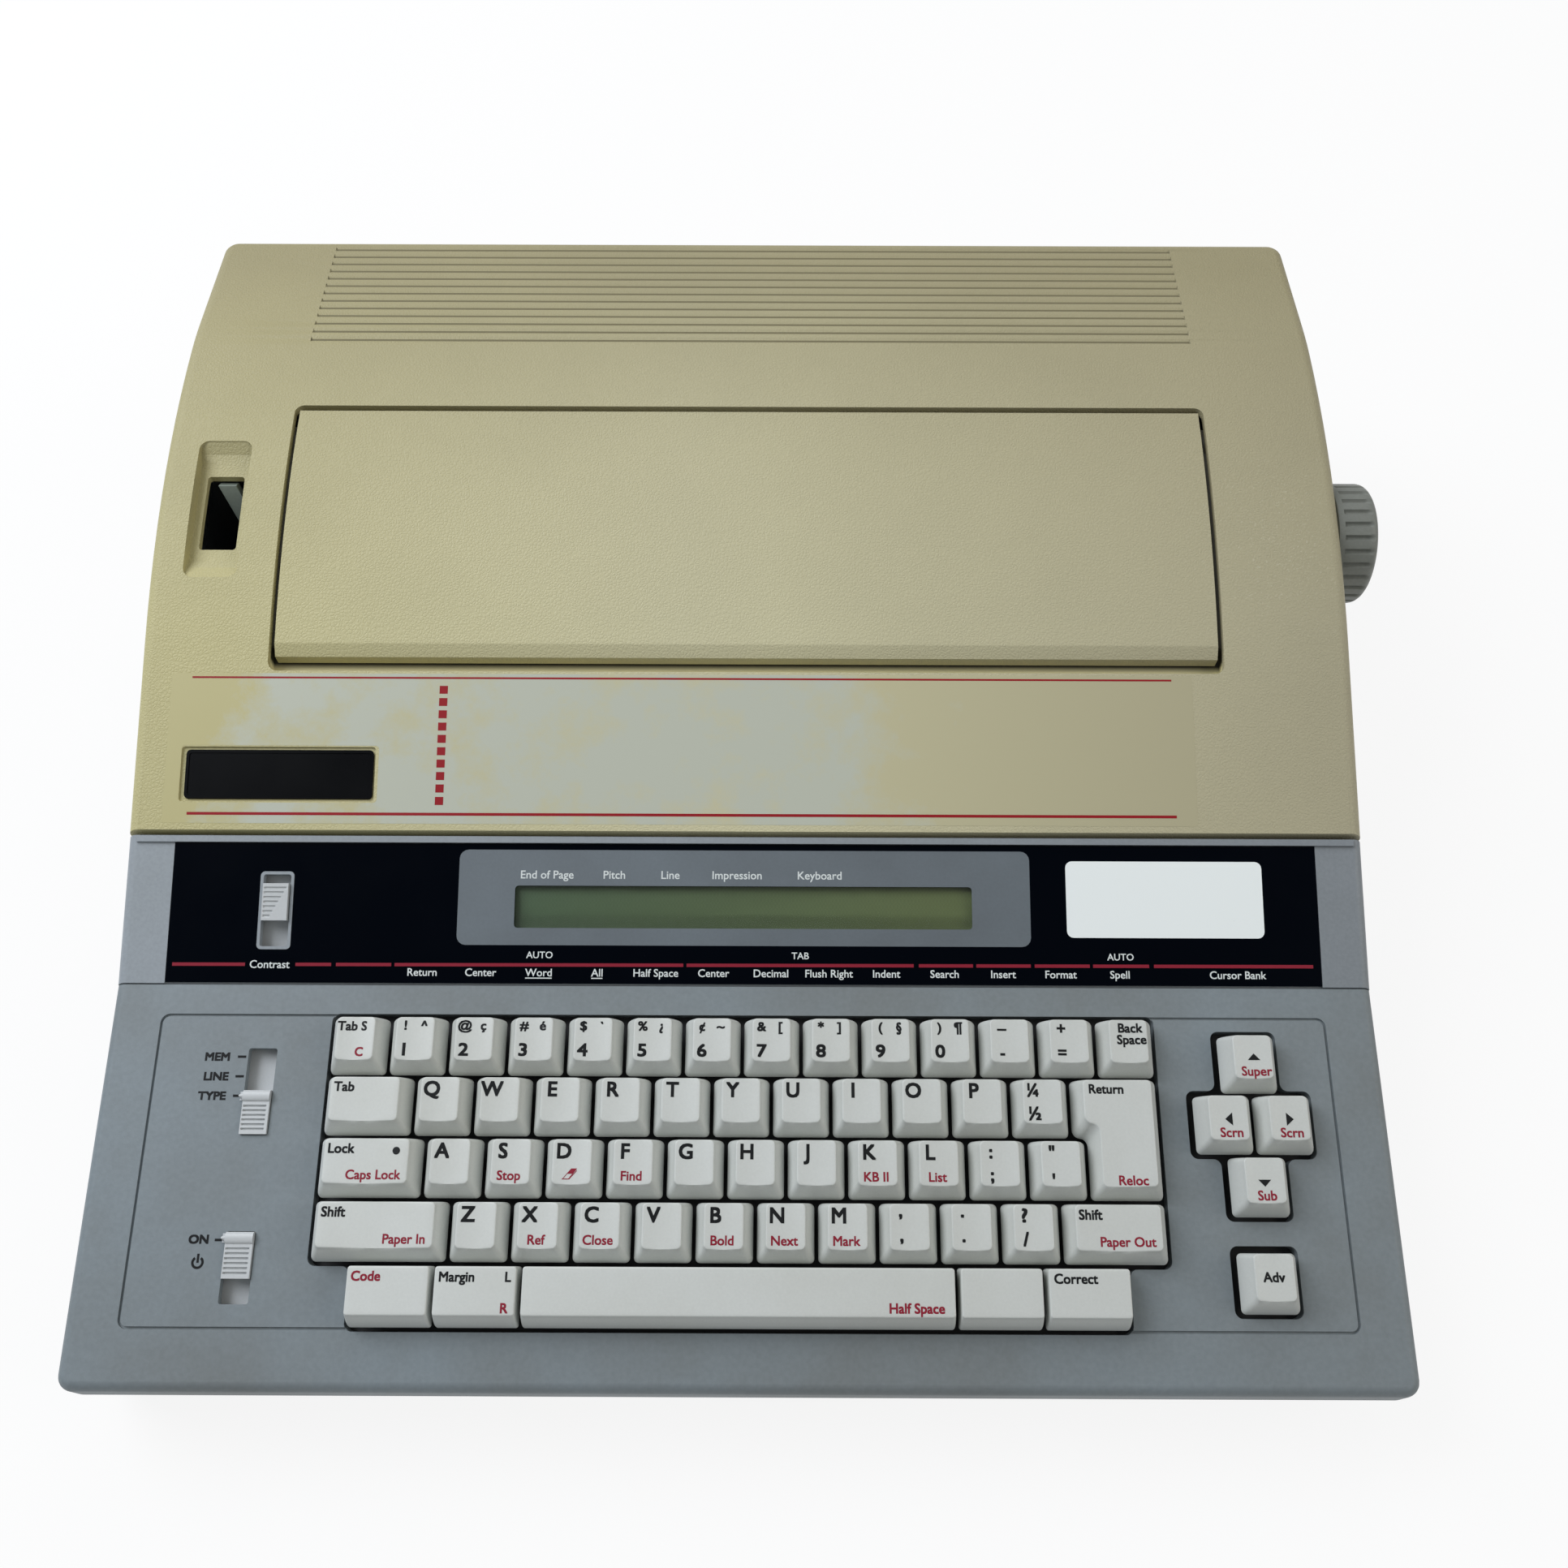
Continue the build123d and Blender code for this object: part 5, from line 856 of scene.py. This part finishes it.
def on_top(parts, fx, fy, bar=False):
    """Place on the deck plan at a fraction of the key's top face."""
    left, right, front, back = parts[0]
    inset = (SIDE_IN, FRONT_IN) if not bar else (0.35, 3.6)
    return (left + inset[0] + fx * (right - left - 2 * inset[0]),
            front + inset[1] + fy * (back - front - inset[1] - 0.3))


def legend(parts, text, tall, fx, fy, align="CENTER", dish=DISH, bold=0.08, bar=False,
           wide=1.0):
    """A word at a fraction of the key's top face."""
    x, y = on_top(parts, fx, fy, bar)
    return words(text, tall, x, y, key_surface(parts, dish), align, bold, wide=wide)


def sign(parts, fx, fy, corners):
    """A small printed polygon about a place on the key's top face."""
    x, y = on_top(parts, fx, fy)
    return plate([(x + dx, y + dy) for dx, dy in corners], 0, key_surface(parts), side=3)


print("middle of the first key's top", np.round(on_top([cap_edges(1, 0, 1)], 0.5, 0.5), 2))

# %% Legends of the letter keys
LETTERS = {
    "upper_letter_keys": list("QWERTYUIOP") + ["¼|½"],
    "home_letter_keys": list("ASDFGHJKL") + [":|;", "\"|'"],
    "lower_letter_keys": list("ZXCVBNM") + [",|,", ".|.", "?|/"],
}
UNDER = {"S": "Stop", "F": "Find", "K": "KB II", "L": "List", "X": "Ref", "C": "Close",
         "B": "Bold", "N": "Next", "M": "Mark"}
PAIRED = {"¼": (0.76, 0.23), "\"": (0.74, 0.12), ",": (0.86, 0.33), ".": (0.86, 0.33)}
NUMBERS = [("", "Tab S"), ("!", "1", "^"), ("@", "2", "ç"), ("#", "3", "é"), ("$", "4", "`"),
           ("%", "5", "¿"), ("¢", "6", "~"), ("&", "7", "["), ("*", "8", "]"), ("(", "9", "§"),
           (")", "0", "¶"), ("–", "-", ""), ("+", "=", ""), ("", "Back")]
black, red = defaultdict(list), defaultdict(list)

for node, row in LETTERS.items():
    for place, text in zip(KEY_NODES[node], row):
        edges = [cap_edges(*place)]
        if "|" in text:
            upper, lower = text.split("|")
            high, low = PAIRED.get(upper, (0.76, 0.25))
            black[node] += legend(edges, upper, 3.9, 0.28, high, bold=0.09,
                                  wide=1.3 if upper == "?" else 1.0)
            black[node] += legend(edges, lower, 3.9, 0.3, low, bold=0.09)
        else:
            black[node] += legend(edges, text, 4.4, 0.285, 0.74, bold=0.085)
        if text in UNDER:
            red[node] += legend(edges, UNDER[text], 2.75, 0.46, 0.195, bold=0.06)
eraser = [cap_edges(*KEY_NODES["home_letter_keys"][2])]
ERASER = [[(-0.8, 0.2), (1.2, 0.2), (2.4, 1.8), (0.6, 1.8)],
          [(-2.2, -1.5), (-0.2, -1.5), (-0.2, -1.25), (-2.2, -1.25)],
          [(-2.2, -1.5), (-1.95, -1.5), (-0.55, 0.2), (-0.8, 0.2)],
          [(-0.35, -1.5), (-0.1, -1.5), (1.2, 0.2), (0.95, 0.2)],
          [(-0.2, -1.5), (0.05, -1.5), (2.4, 1.05), (2.3, 1.3)]]
red["home_letter_keys"] += [sign(eraser, 0.44, 0.22, part) for part in ERASER]
print("letter legends", {name: len(shells) // 4 for name, shells in black.items()})

# %% Legends of the number keys
node = "number_keys"
for place, signs in zip(KEY_NODES[node], NUMBERS):
    edges = [cap_edges(*place)]
    if signs[1] == "Tab S":
        black[node] += legend(edges, "Tab S", 2.8, 0.4, 0.79)
        red[node] += legend(edges, "C", 2.7, 0.62, 0.19)
    elif signs[1] == "Back":
        black[node] += legend(edges, "Back", 2.8, 0.55, 0.81)
        black[node] += legend(edges, "Space", 2.8, 0.58, 0.54)
    elif signs[2]:
        black[node] += legend(edges, signs[0], 2.8, 0.24, 0.81, bold=0.09, wide=1.1)
        black[node] += legend(edges, signs[1], 3.8, 0.24, 0.25, bold=0.09, wide=1.18)
        black[node] += legend(edges, signs[2], 2.8, 0.72, 0.81, bold=0.09, wide=1.1)
    else:
        black[node] += legend(edges, signs[0], 3.6, 0.31, 0.79, bold=0.085)
        black[node] += legend(edges, signs[1], 3.6, 0.31, 0.23, bold=0.085)
print("number key legends", len(black[node]) // 4)

# %% Legends of the wide, cursor and bottom keys
ARROWS = {"cursor_up_key": (0.53, 0.49, [(-2.0, -0.9), (2.0, -0.9), (0, 1.2)]),
          "cursor_down_key": (0.49, 0.45, [(2.0, 0.9), (-2.0, 0.9), (0, -1.2)]),
          "cursor_left_key": (0.52, 0.47, [(1.0, -2.0), (1.0, 2.0), (-1.3, 0)]),
          "cursor_right_key": (0.51, 0.47, [(-1.0, 2.0), (-1.0, -2.0), (1.3, 0)])}
WORDED = {
    "tab_key": ("Tab", None), "lock_key": ("Lock", "Caps Lock"),
    "left_shift_key": ("Shift", "Paper In"), "right_shift_key": ("Shift", "Paper Out"),
    "cursor_up_key": (None, "Super"), "cursor_left_key": (None, "Scrn"),
    "cursor_right_key": (None, "Scrn"), "cursor_down_key": (None, "Sub"),
    "advance_key": ("Adv", None),
}
for node, (upper, lower) in WORDED.items():
    edges = [cap_edges(*KEY_NODES[node][0])]
    wide = edges[0][1] - edges[0][0] - 2 * SIDE_IN
    if node == "advance_key":
        black[node] = legend(edges, upper, 2.75, 0.48, 0.51)
    elif upper:
        black[node] = legend(edges, upper, 2.85, 1.1 / wide, 0.78, align="LEFT")
        if lower:
            red[node] = legend(edges, lower, 2.75, 1 - 2.3 / wide, 0.2, align="RIGHT", bold=0.06)
    else:
        fx, fy, corners = ARROWS[node]
        black[node] = [sign(edges, fx, fy, corners)]
        red[node] = legend(edges, lower, 2.8, fx + 0.03, 0.17, bold=0.06)
dot = [(1.2 * cos(i * pi / 8), 1.2 * sin(i * pi / 8)) for i in range(16)]
lock = [cap_edges(*KEY_NODES["lock_key"][0])]
lock_x, lock_y = on_top(lock, 1.0, 0.8)
black["lock_key"].append(plate([(lock_x - 4.1 + dx, lock_y - 1.0 + dy) for dx, dy in dot], 0,
                               key_surface(lock), side=2))
black["return_key"] = legend(RETURN, "Return", 2.75, 0.08, 0.79, align="LEFT")
red["return_key"] = legend(RETURN, "Reloc", 2.8, 0.86, -1.25, align="RIGHT",
                           bold=0.06)
for node, ink, text, fx, fy, align in (
        ("code_key", red, "Code", 0.05, 0.81, "LEFT"),
        ("margin_key", black, "Margin", 0.05, 0.8, "LEFT"),
        ("margin_key", black, "L", 0.9, 0.8, "CENTER"),
        ("margin_key", red, "R", 0.87, 0.16, "CENTER"),
        ("space_bar", red, "Half Space", 0.975, 0.19, "RIGHT"),
        ("correct_key", black, "Correct", 0.06, 0.81, "LEFT")):
    ink[node] += legend([cap_edges(*BAR_NODES[node])], text, 2.75, fx, fy, align, 0.0, bar=True)
print("nodes with black legends", len(black), "with red", len(red))

# %% Ink on the keys
for colour, ink, group in (("black", INK_BLACK, black), ("red", INK_RED, red)):
    for node, shells in group.items():
        make(node + "_print_" + colour, shells, body_with[node], ink)

# %% [markdown]
# ## Display panel
# The black plate carries its words in white print, a red rule that ties the function words
# together, a grey frame round the display and a bare white label. All of it is thin print, so it
# is laid a few hundredths of a millimetre proud of the plate.

# %% Panel print
surround = frame_plate(box_corners(-95.3, 95.3, 13.2, 45.0), box_corners(-76.4, 75.9, 18.9, 33.0),
                       (3.0, 1.2), on_panel, proud=0.03)
# The printed grey carries painted shade, darker towards the right.
make("display_surround", [surround], "machine",
     moulded("surround_print", "#727B81", "#656C71", 0.42, 0.4, 0.004, fleck=0.03,
             painted_shade_right=0.85))
panel_words = []
for text, x in (("End of Page", -65.9), ("Pitch", -43.4), ("Line", -24.7),
                ("Impression", -2.4), ("Keyboard", 25.2)):
    panel_words += words(text, 2.6, x, 36.7, on_panel, bold=0.03)
for text, x in (("AUTO", -67.5), ("TAB", 18.8), ("AUTO", 124.8)):
    panel_words += words(text, 2.15, x, 10.0, on_panel, bold=0.03)
for text, x, rule in (
        ("Return", -106.2, 0), ("Center", -86.9, 0), ("Word", -67.6, 1), ("All", -48.3, 1),
        ("Half Space", -29.0, 0), ("Center", -9.9, 0), ("Decimal", 9.1, 0),
        ("Flush Right", 28.2, 0), ("Indent", 47.2, 0), ("Search", 66.5, 0), ("Insert", 85.8, 0),
        ("Format", 104.8, 0), ("Spell", 124.4, 0), ("Cursor Bank", 163.2, 0)):
    panel_words += words(text, 2.45, x, 4.2, on_panel, bold=0.03, underline=bool(rule))
panel_words += words("Contrast", 2.5, -156.8, 6.6, on_panel, bold=0.03)
make("panel_words", panel_words, "machine", INK_WHITE)

# %% Rule and label
def rule_s(x):
    """The red rule rises to the right by 1.6 mm in a metre."""
    return 6.8 + x * 0.0016


RULE_HALF = 0.55
rules = []
for x0, x1 in ((-189, -164.9), (-148.2, -136.4), (-134.8, -116.5), (-115.4, -19.9),
               (-18.8, 56.3), (58, 75.9), (77, 95), (96.3, 114.5), (115.6, 134.1),
               (135.7, 188.3)):
    rules.append(plate([(x0, rule_s(x0) - RULE_HALF), (x1, rule_s(x1) - RULE_HALF),
                        (x1, rule_s(x1) + RULE_HALF), (x0, rule_s(x0) + RULE_HALF)], 0,
                       on_panel, proud=0.04))
make("panel_red_rule", rules, "machine", INK_RED)
make("blank_label", [plate(box_corners(107.3, 172.8, 16.3, 41.8), 2.2, on_panel,
                           proud=0.12)], "machine",
     film("paper_label", "#F3F8F6", 0.6, "#CCD2D1"))

# %% [markdown]
# ## Words beside the sliders
# The deck beside each slider carries small dark words and ticks, printed on the grain.

# %% Deck print
deck_print = []
for text, x, s in (("MEM", -170.5, 100.5), ("LINE", -170.2, 94.2), ("TYPE", -170.7, 88.0),
                   ("ON", -168.9, 43.9)):
    deck_print += words(text, 2.45, x, s, on_deck, bold=0.125, wide=1.12)
for s in (100.5, 94.2, 88.0, 43.7):
    deck_print.append(plate(box_corners(-163.9, -161.2, s - 0.38, s + 0.38), 0, on_deck))
turn = np.linspace(radians(125), radians(415), 25)
ring = [(-168.4 + r * cos(a), 37.0 + r * sin(a)) for r, way in ((1.95, 1), (1.2, -1))
        for a in turn[::way]]
deck_print += [plate(ring, 0, on_deck, side=2),
               plate(box_corners(-168.75, -168.05, 36.9, 39.6), 0, on_deck)]
make("deck_words", deck_print, "machine", INK_DARK)

# %% [markdown]
# ## Film and rules on the cover
# A clear film with two red rules and a column of small red squares lies on the cover's front.
# Its glue has gone cloudy in patches and has let go along the left. A bare black plate with a
# raised rim fills the recess of the badge.

# %% Clouded film
def clouded_film():
    """Beige where the film still clings, whitish where its glue has clouded, by broad noise."""
    material, tree, place = new_material("clouded_film")
    across = add(tree, "ShaderNodeSeparateXYZ", {"Vector": place})
    left = add(tree, "ShaderNodeMapRange", {"Value": across.outputs["X"], "From Min": -0.205,
                                            "From Max": -0.165, "To Min": -0.3, "To Max": 0.03})
    right = add(tree, "ShaderNodeMapRange", {"Value": across.outputs["X"], "From Min": 0.02,
                                             "From Max": 0.09, "To Min": 0.0, "To Max": -0.4})
    side = add(tree, "ShaderNodeMath", {
        0: left.outputs[0], 1: right.outputs[0]}, operation="ADD")
    patches = add(tree, "ShaderNodeTexNoise", {
        "Vector": place, "Scale": 38.0, "Detail": 8.0, "Roughness": 0.68})
    raised = add(tree, "ShaderNodeMath", {
        0: patches.outputs["Fac"], 1: side.outputs[0]}, operation="ADD")
    amount = add(tree, "ShaderNodeMapRange", {
        "Value": raised.outputs[0], "From Min": 0.35, "From Max": 0.56})
    # Where the film clings it shows the cover's beige, with its painted highlight and painted
    # shade.
    colour = add(tree, "ShaderNodeMix", {"Factor": amount.outputs[0], "A": beige_with_painted_light(tree, place),
                                         "B": linear("#BEC1B1")}, data_type="RGBA")
    close(tree, add(tree, "ShaderNodeBsdfPrincipled", {
        "Base Color": colour.outputs["Result"], "Roughness": 0.38, "IOR": 1.45}))
    return material


# %% Film, rules and badge
FILM = box_corners(-195.7, 152.0, 172.8, 221.6)
BADGE_HOLE = box_corners(-190.6, -123.8, 179.4, 197.9)
SQUARES, SQUARE_HALF = np.linspace(216.3, 180.1, 10), 1.3
make("cover_film", [frame_plate(FILM, BADGE_HOLE, (1.0, 1.2), on_cover, proud=0.05)],
     "machine", clouded_film())
film_red = [plate(box_corners(-188.7, 145.0, 219.9, 220.5), 0, on_cover, proud=0.09),
            plate(box_corners(-187.4, 145.0, 175.4, 176.3), 0, on_cover, proud=0.09)]
film_red += [plate(box_corners(-104.2, -101.4, y - SQUARE_HALF, y + SQUARE_HALF), 0, on_cover,
                   proud=0.09) for y in SQUARES]
make("cover_rules", film_red, "machine",
     film("film_print_red", "#960D1A", 0.5, "#A22C38"))
anodised = film("anodised_black", "#040507", 0.3, "#1A1B1D", 0.12)
BADGE_SEAT = 0.8


def in_badge(x, y, n):
    return on_cover(x, y, n - BADGE_SEAT)


make("badge_plate", [plate(box_corners(-188.3, -126.1, 181.4, 195.9), 0.8, in_badge, proud=0.4),
                     frame_plate(box_corners(-188.9, -125.5, 180.8, 196.5),
                                 box_corners(-187.9, -126.5, 181.8, 195.5), (1.4, 0.8), in_badge,
                                 0.7)], "machine", anodised)

# %% [markdown]
# ## Painted shade in the rear grooves
# Thirteen straight grooves cross the cover behind the lid. Their shade, with some dust, shows as
# thin dark lines rather than their slopes, so a narrow dark strip of painted shade lies low in
# each groove, on its two walls.

# %% Groove shade
GROOVE_FIRST, GROOVE_STEP, GROOVE_COUNT, GROOVE_HALF = 353.4, 4.4, 13, 162.4
# Painted shade: dark dust-coloured strips stand in for the shade in the grooves.
groove_shade_lines = [plate(box_corners(-GROOVE_HALF, GROOVE_HALF, y - 0.45, y + 0.45), 0, on_cover,
                    proud=-0.5, depth=0.8)
              for y in GROOVE_FIRST + GROOVE_STEP * np.arange(GROOVE_COUNT)]
make("groove_painted_shade", groove_shade_lines, "machine",
     film("painted_shade_and_dust", "#787259", 0.8, "#8A8468", 0.2))

# %% [markdown]
# ## Sliders
# Each slider is a small acetal block in a trough, with ridges for a fingertip. The mode and power
# sliders end in a raised rounded ridge that juts out as a pointer, the contrast slider has grooves
# that get shorter downwards. The top is a height over the two directions of the slope.

# %% Slider tools
SLIDER_X = -7 * PITCH - 22.55
POINTER_HALF, POINTER_LONG, RIDGE_AT = 4.35, 13.8, 12.0
CONTRAST_START, CONTRAST_HALF, CONTRAST_LONG = 21.0, 4.25, 12.3


def sheet_block(x, s, height, bottom, slope):
    """Closed block whose top is a height over a grid of x and s; its edges drop to the base."""
    xx, ss = np.meshgrid(x, s, indexing="ij")
    top = on_slope(slope, xx, ss, height)
    base = on_slope(slope, xx, ss, np.full_like(xx, bottom))
    rows, cols = xx.shape
    n = np.arange(rows * cols).reshape(rows, cols)
    lid = np.stack([n[:-1, :-1], n[1:, :-1], n[1:, 1:], n[:-1, 1:]], -1).reshape(-1, 4)
    under = lid[:, ::-1] + rows * cols
    rim = np.concatenate([n[:, 0], n[-1, 1:], n[-2::-1, -1], n[0, -2:0:-1]])
    around = np.roll(rim, -1)
    sides = np.stack([rim, rim + rows * cols, around + rows * cols, around], -1)
    faces = np.concatenate([lid, under, sides]).tolist()
    return np.concatenate([top.reshape(-1, 3), base.reshape(-1, 3)]), faces


def grooves(s, first, step, count, half, depth):
    """Sum of count notches: full depth within half of each centre, none beyond, eased."""
    centres = first + step * np.arange(count)
    gap = np.abs(s[..., None] - centres).min(-1)
    return depth * np.clip((half + 0.12 - gap) / 0.12, 0, 1)


# %% Mode and power sliders
def pointer_slider(start, wall):
    """Block with six grooves and a rounded ridge at its upper end."""
    x = np.linspace(SLIDER_X - POINTER_HALF, SLIDER_X + POINTER_HALF, 30)
    s = np.linspace(start, start + POINTER_LONG, 139)
    xx, ss = np.meshgrid(x, s, indexing="ij")
    ridge = np.clip(1 - ((ss - start - RIDGE_AT) / 1.7) ** 2, 0, 1) ** 0.5
    cut = grooves(ss, start + 1.6, 1.45, 6, 0.2, 0.8) * (np.abs(xx - SLIDER_X + 0.3) < 3.6)
    height = 1.0 - cut + 0.85 * ridge
    body = sheet_block(x, s, height, -wall - 1.8, DECK)
    px = np.linspace(SLIDER_X - 5.6, SLIDER_X - 4.2, 5)
    ps = np.linspace(start + 10.6, start + 13.4, 15)
    pxx, pss = np.meshgrid(px, ps, indexing="ij")
    narrow = 1.4 * (0.35 + 0.65 * (pxx - px[0]) / (px[-1] - px[0]))
    lobe = np.clip(1 - ((pss - start - RIDGE_AT) / narrow) ** 2, 0, 1) ** 0.5
    tip = sheet_block(px, ps, 0.25 + 1.5 * lobe, 0.12, DECK)
    return [body, tip]


print("faces of a pointer slider", sum(len(faces) for _, faces in pointer_slider(0, 2.6)))

# %% Contrast slider
def contrast_slider():
    """Flat block with seven grooves from its left edge, each shorter than the one above."""
    start = CONTRAST_START
    x = np.linspace(SLIDER_X - CONTRAST_HALF, SLIDER_X + CONTRAST_HALF, 45)
    s = np.linspace(start, start + CONTRAST_LONG, 125)
    xx, ss = np.meshgrid(x, s, indexing="ij")
    row = np.clip(np.round((ss - start - 1.4) / 1.55), 0, 6)
    reach = SLIDER_X - 3.6 + 2.2 + row * 0.85
    cut = grooves(ss, start + 1.4, 1.55, 7, 0.3, 0.45)
    cut = cut * np.clip((reach - xx) / 0.3, 0, 1) * np.clip((xx - SLIDER_X + 3.8) / 0.3, 0, 1)
    return [sheet_block(x, s, 1.5 - cut, -4.2, PANEL)]


slider_white = MATERIALS["slider_white"]
make("mode_slider_shape", pointer_slider(75.9, 2.6), body_with["mode_slider"],
     slider_white, ("mode_slider",))
make("power_slider_shape", pointer_slider(32.3, 2.6), body_with["power_slider"],
     slider_white, ("power_slider",))
make("contrast_slider_shape", contrast_slider(), body_with["contrast_slider"],
     slider_white, ("contrast_slider",))

# %% [markdown]
# ## Platen knob
# The knob is a cup of dark ABS with fine grooves for the fingers and a rounded outer rim. It is a
# surface of two parameters: the angle about the platen, and the way along the profile. The radius
# loses a little where a groove runs.

# %% Knob
knob_low, knob_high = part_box("platen_knob")
KNOB_X0 = (knob_low[0] - SHIFT[0]) * 1000
KNOB_L = (knob_high[0] - knob_low[0]) * 1000
KNOB_R, KNOB_ROUND, KNOB_GROOVES, GROOVE_DEPTH = 21.5, 3.0, 28, 1.15
PLATEN = (285.0, 87.4944)


def about_platen(along, radius, angle):
    """Points along the platen's axis and out from it, turned by each angle."""
    along, radius, angle = np.broadcast_arrays(along, radius, angle)
    return np.stack([KNOB_X0 + along, PLATEN[0] + radius * np.cos(angle),
                     PLATEN[1] + radius * np.sin(angle)], -1)


def knob():
    """Profile of (along, radius) turned about the platen; each groove is a half ellipse deep."""
    bend = np.linspace(0, pi / 2, 7)
    along = np.concatenate([[0, 0.35, 1.5, 2.4, 2.6, 4, 6, 8, 10, 11.0],
                            KNOB_L - KNOB_ROUND + KNOB_ROUND * np.sin(bend),
                            [KNOB_L, KNOB_L - 0.2, KNOB_L - 0.9, KNOB_L - 1.0]])
    radius = np.concatenate([[KNOB_R - 0.5], [KNOB_R] * 9,
                             KNOB_R - KNOB_ROUND + KNOB_ROUND * np.cos(bend),
                             [16.0, 15.2, 14.5, 0.4]])
    angle = np.linspace(0, 2 * pi, KNOB_GROOVES * 10, endpoint=False)
    phase = (angle * KNOB_GROOVES / (2 * pi)) % 1
    groove = np.clip(1 - ((phase - 0.5) / 0.17) ** 2, 0, 1) ** 0.5
    reach = np.clip((along - 2.4) / 0.2, 0, 1) * np.clip((KNOB_L - 1.4 - along) / 2.5, 0, 1)
    worn = radius[:, None] - GROOVE_DEPTH * groove[None, :] * reach[:, None]
    outside = shell(about_platen(along[:, None], worn, angle))
    inside = about_platen(np.array([[0.0], [KNOB_L - 4.0]]), KNOB_R - 2.5, angle)
    return hollow(outside, inside)


def sleeve(end, outer, inner, around=48):
    """Tube about the platen's axis: outer and inner wall joined at both ends."""
    corners = np.array([(0, inner), (0, outer), (end, outer), (end, inner)])
    angle = np.linspace(0, 2 * pi, around, endpoint=False)
    return tube(about_platen(corners[:, :1], corners[:, 1:], angle))


make("platen_knob_shape", [knob(), sleeve(KNOB_L - 3.5, 7.0, 4.0)],
     body_with["platen_knob"], MATERIALS["knob_grey"], ("platen_knob",), sharp=50)

# %% [markdown]
# ## Floor, camera and lamps
# The machine stands on a plain white floor that glows a little for the camera and for glossy and
# transmitted rays, so it stays white but keeps the shadow. The camera stands where the photograph
# was taken: half a metre above the front edge, looking down and back. The lamps are large and
# soft, cool from the left and weaker from the right, as in the photograph.

# %% Floor
def white_floor():
    """Mostly emission for rays that look at it, plain white diffuse for all others."""
    material, tree, _ = new_material("studio_floor")
    rays = add(tree, "ShaderNodeLightPath", {})
    seen = add(tree, "ShaderNodeMath", {
        0: rays.outputs["Is Camera Ray"], 1: rays.outputs["Is Glossy Ray"]}, operation="MAXIMUM")
    seen = add(tree, "ShaderNodeMath", {
        0: seen.outputs[0], 1: rays.outputs["Is Transmission Ray"]}, operation="MAXIMUM")
    share = add(tree, "ShaderNodeMath", {0: seen.outputs[0], 1: 0.88}, operation="MULTIPLY")
    diffuse = add(tree, "ShaderNodeBsdfDiffuse", {"Color": linear("#F2F2F2")})
    glow = add(tree, "ShaderNodeEmission", {"Color": (1, 1, 1, 1), "Strength": 1.0})
    mix = add(tree, "ShaderNodeMixShader", {
        0: share.outputs[0], 1: diffuse.outputs[0], 2: glow.outputs[0]})
    close(tree, mix)
    return material


FLOOR_Z = -0.0005
floor_mesh = bpy.data.meshes.new("floor")
floor_mesh.from_pydata([(x, y, FLOOR_Z) for x, y in box_corners(-6, 6, -6, 6)], [],
                       [(0, 1, 2, 3)])
floor_mesh.materials.append(white_floor())
floor = bpy.data.objects.new("floor", floor_mesh)
bpy.context.scene.collection.objects.link(floor)
print("floor at", FLOOR_Z, "m")

# %% World and lamps
world = bpy.data.worlds.new("studio_air")
world.use_nodes = True
air = world.node_tree
air.nodes.clear()
air_rays = add(air, "ShaderNodeLightPath", {})
around = add(air, "ShaderNodeBackground", {"Color": linear("#DDE2E6"), "Strength": 0.35})
white = add(air, "ShaderNodeBackground", {"Color": (1, 1, 1, 1), "Strength": 1.0})
sky = add(air, "ShaderNodeMixShader", {
    0: air_rays.outputs["Is Camera Ray"], 1: around.outputs[0], 2: white.outputs[0]})
add(air, "ShaderNodeOutputWorld", {"Surface": sky.outputs[0]})
bpy.context.scene.world = world


def lamp(name, place, aim, size, power, tint):
    """Square area lamp at a place, turned so that its light falls towards a point."""
    light = bpy.data.lights.new(name, "AREA")
    light.size = size
    light.energy = power
    light.color = linear(tint)[:3]
    holder = bpy.data.objects.new(name, light)
    bpy.context.scene.collection.objects.link(holder)
    place, aim = np.array(place), np.array(aim)
    back = (place - aim) / np.linalg.norm(place - aim)
    right = np.cross([0, 0, 1], back)
    right /= np.linalg.norm(right)
    up = np.cross(back, right)
    turn = Matrix([(*row, p) for row, p in zip(np.stack([right, up, back], 1).tolist(), place)]
                  + [(0, 0, 0, 1)])
    holder.matrix_world = turn
    return holder


for name, place, power, tint in (("left_window", (-1.15, 0.55, 1.45), 27.5, "#F4F8FF"),
                                 ("right_fill", (1.6, -0.2, 1.2), 9.0, "#FFF9F0"),
                                 ("back_strip", (0.1, 1.5, 1.5), 6.0, "#FFFFFF")):
    print("lamp", lamp(name, place, (0, 0, 0), 1.2, power, tint).name, power, "W")

# %% Camera
camera_data = bpy.data.cameras.new("photograph_view")
camera_data.sensor_width = 36.0
camera_data.lens = 33.10
camera_data.clip_start = 0.01
camera = bpy.data.objects.new("photograph_view", camera_data)
bpy.context.scene.collection.objects.link(camera)
right, up, back = (1.0, 0.0041, 0.0003), (-0.0037, 0.8804, 0.4741), (0.0017, -0.4741, 0.8805)
spot = (0.00625, -0.2502, 0.5114)
camera.matrix_world = Matrix([(right[i], up[i], back[i], spot[i]) for i in range(3)]
                             + [(0, 0, 0, 1)])
bpy.context.scene.camera = camera
bpy.context.scene.view_settings.view_transform = "Standard"
print("camera at", spot, "with a lens of", round(camera_data.lens, 1), "mm")

# %% Measure and finish
print("CAD box", cad_box)
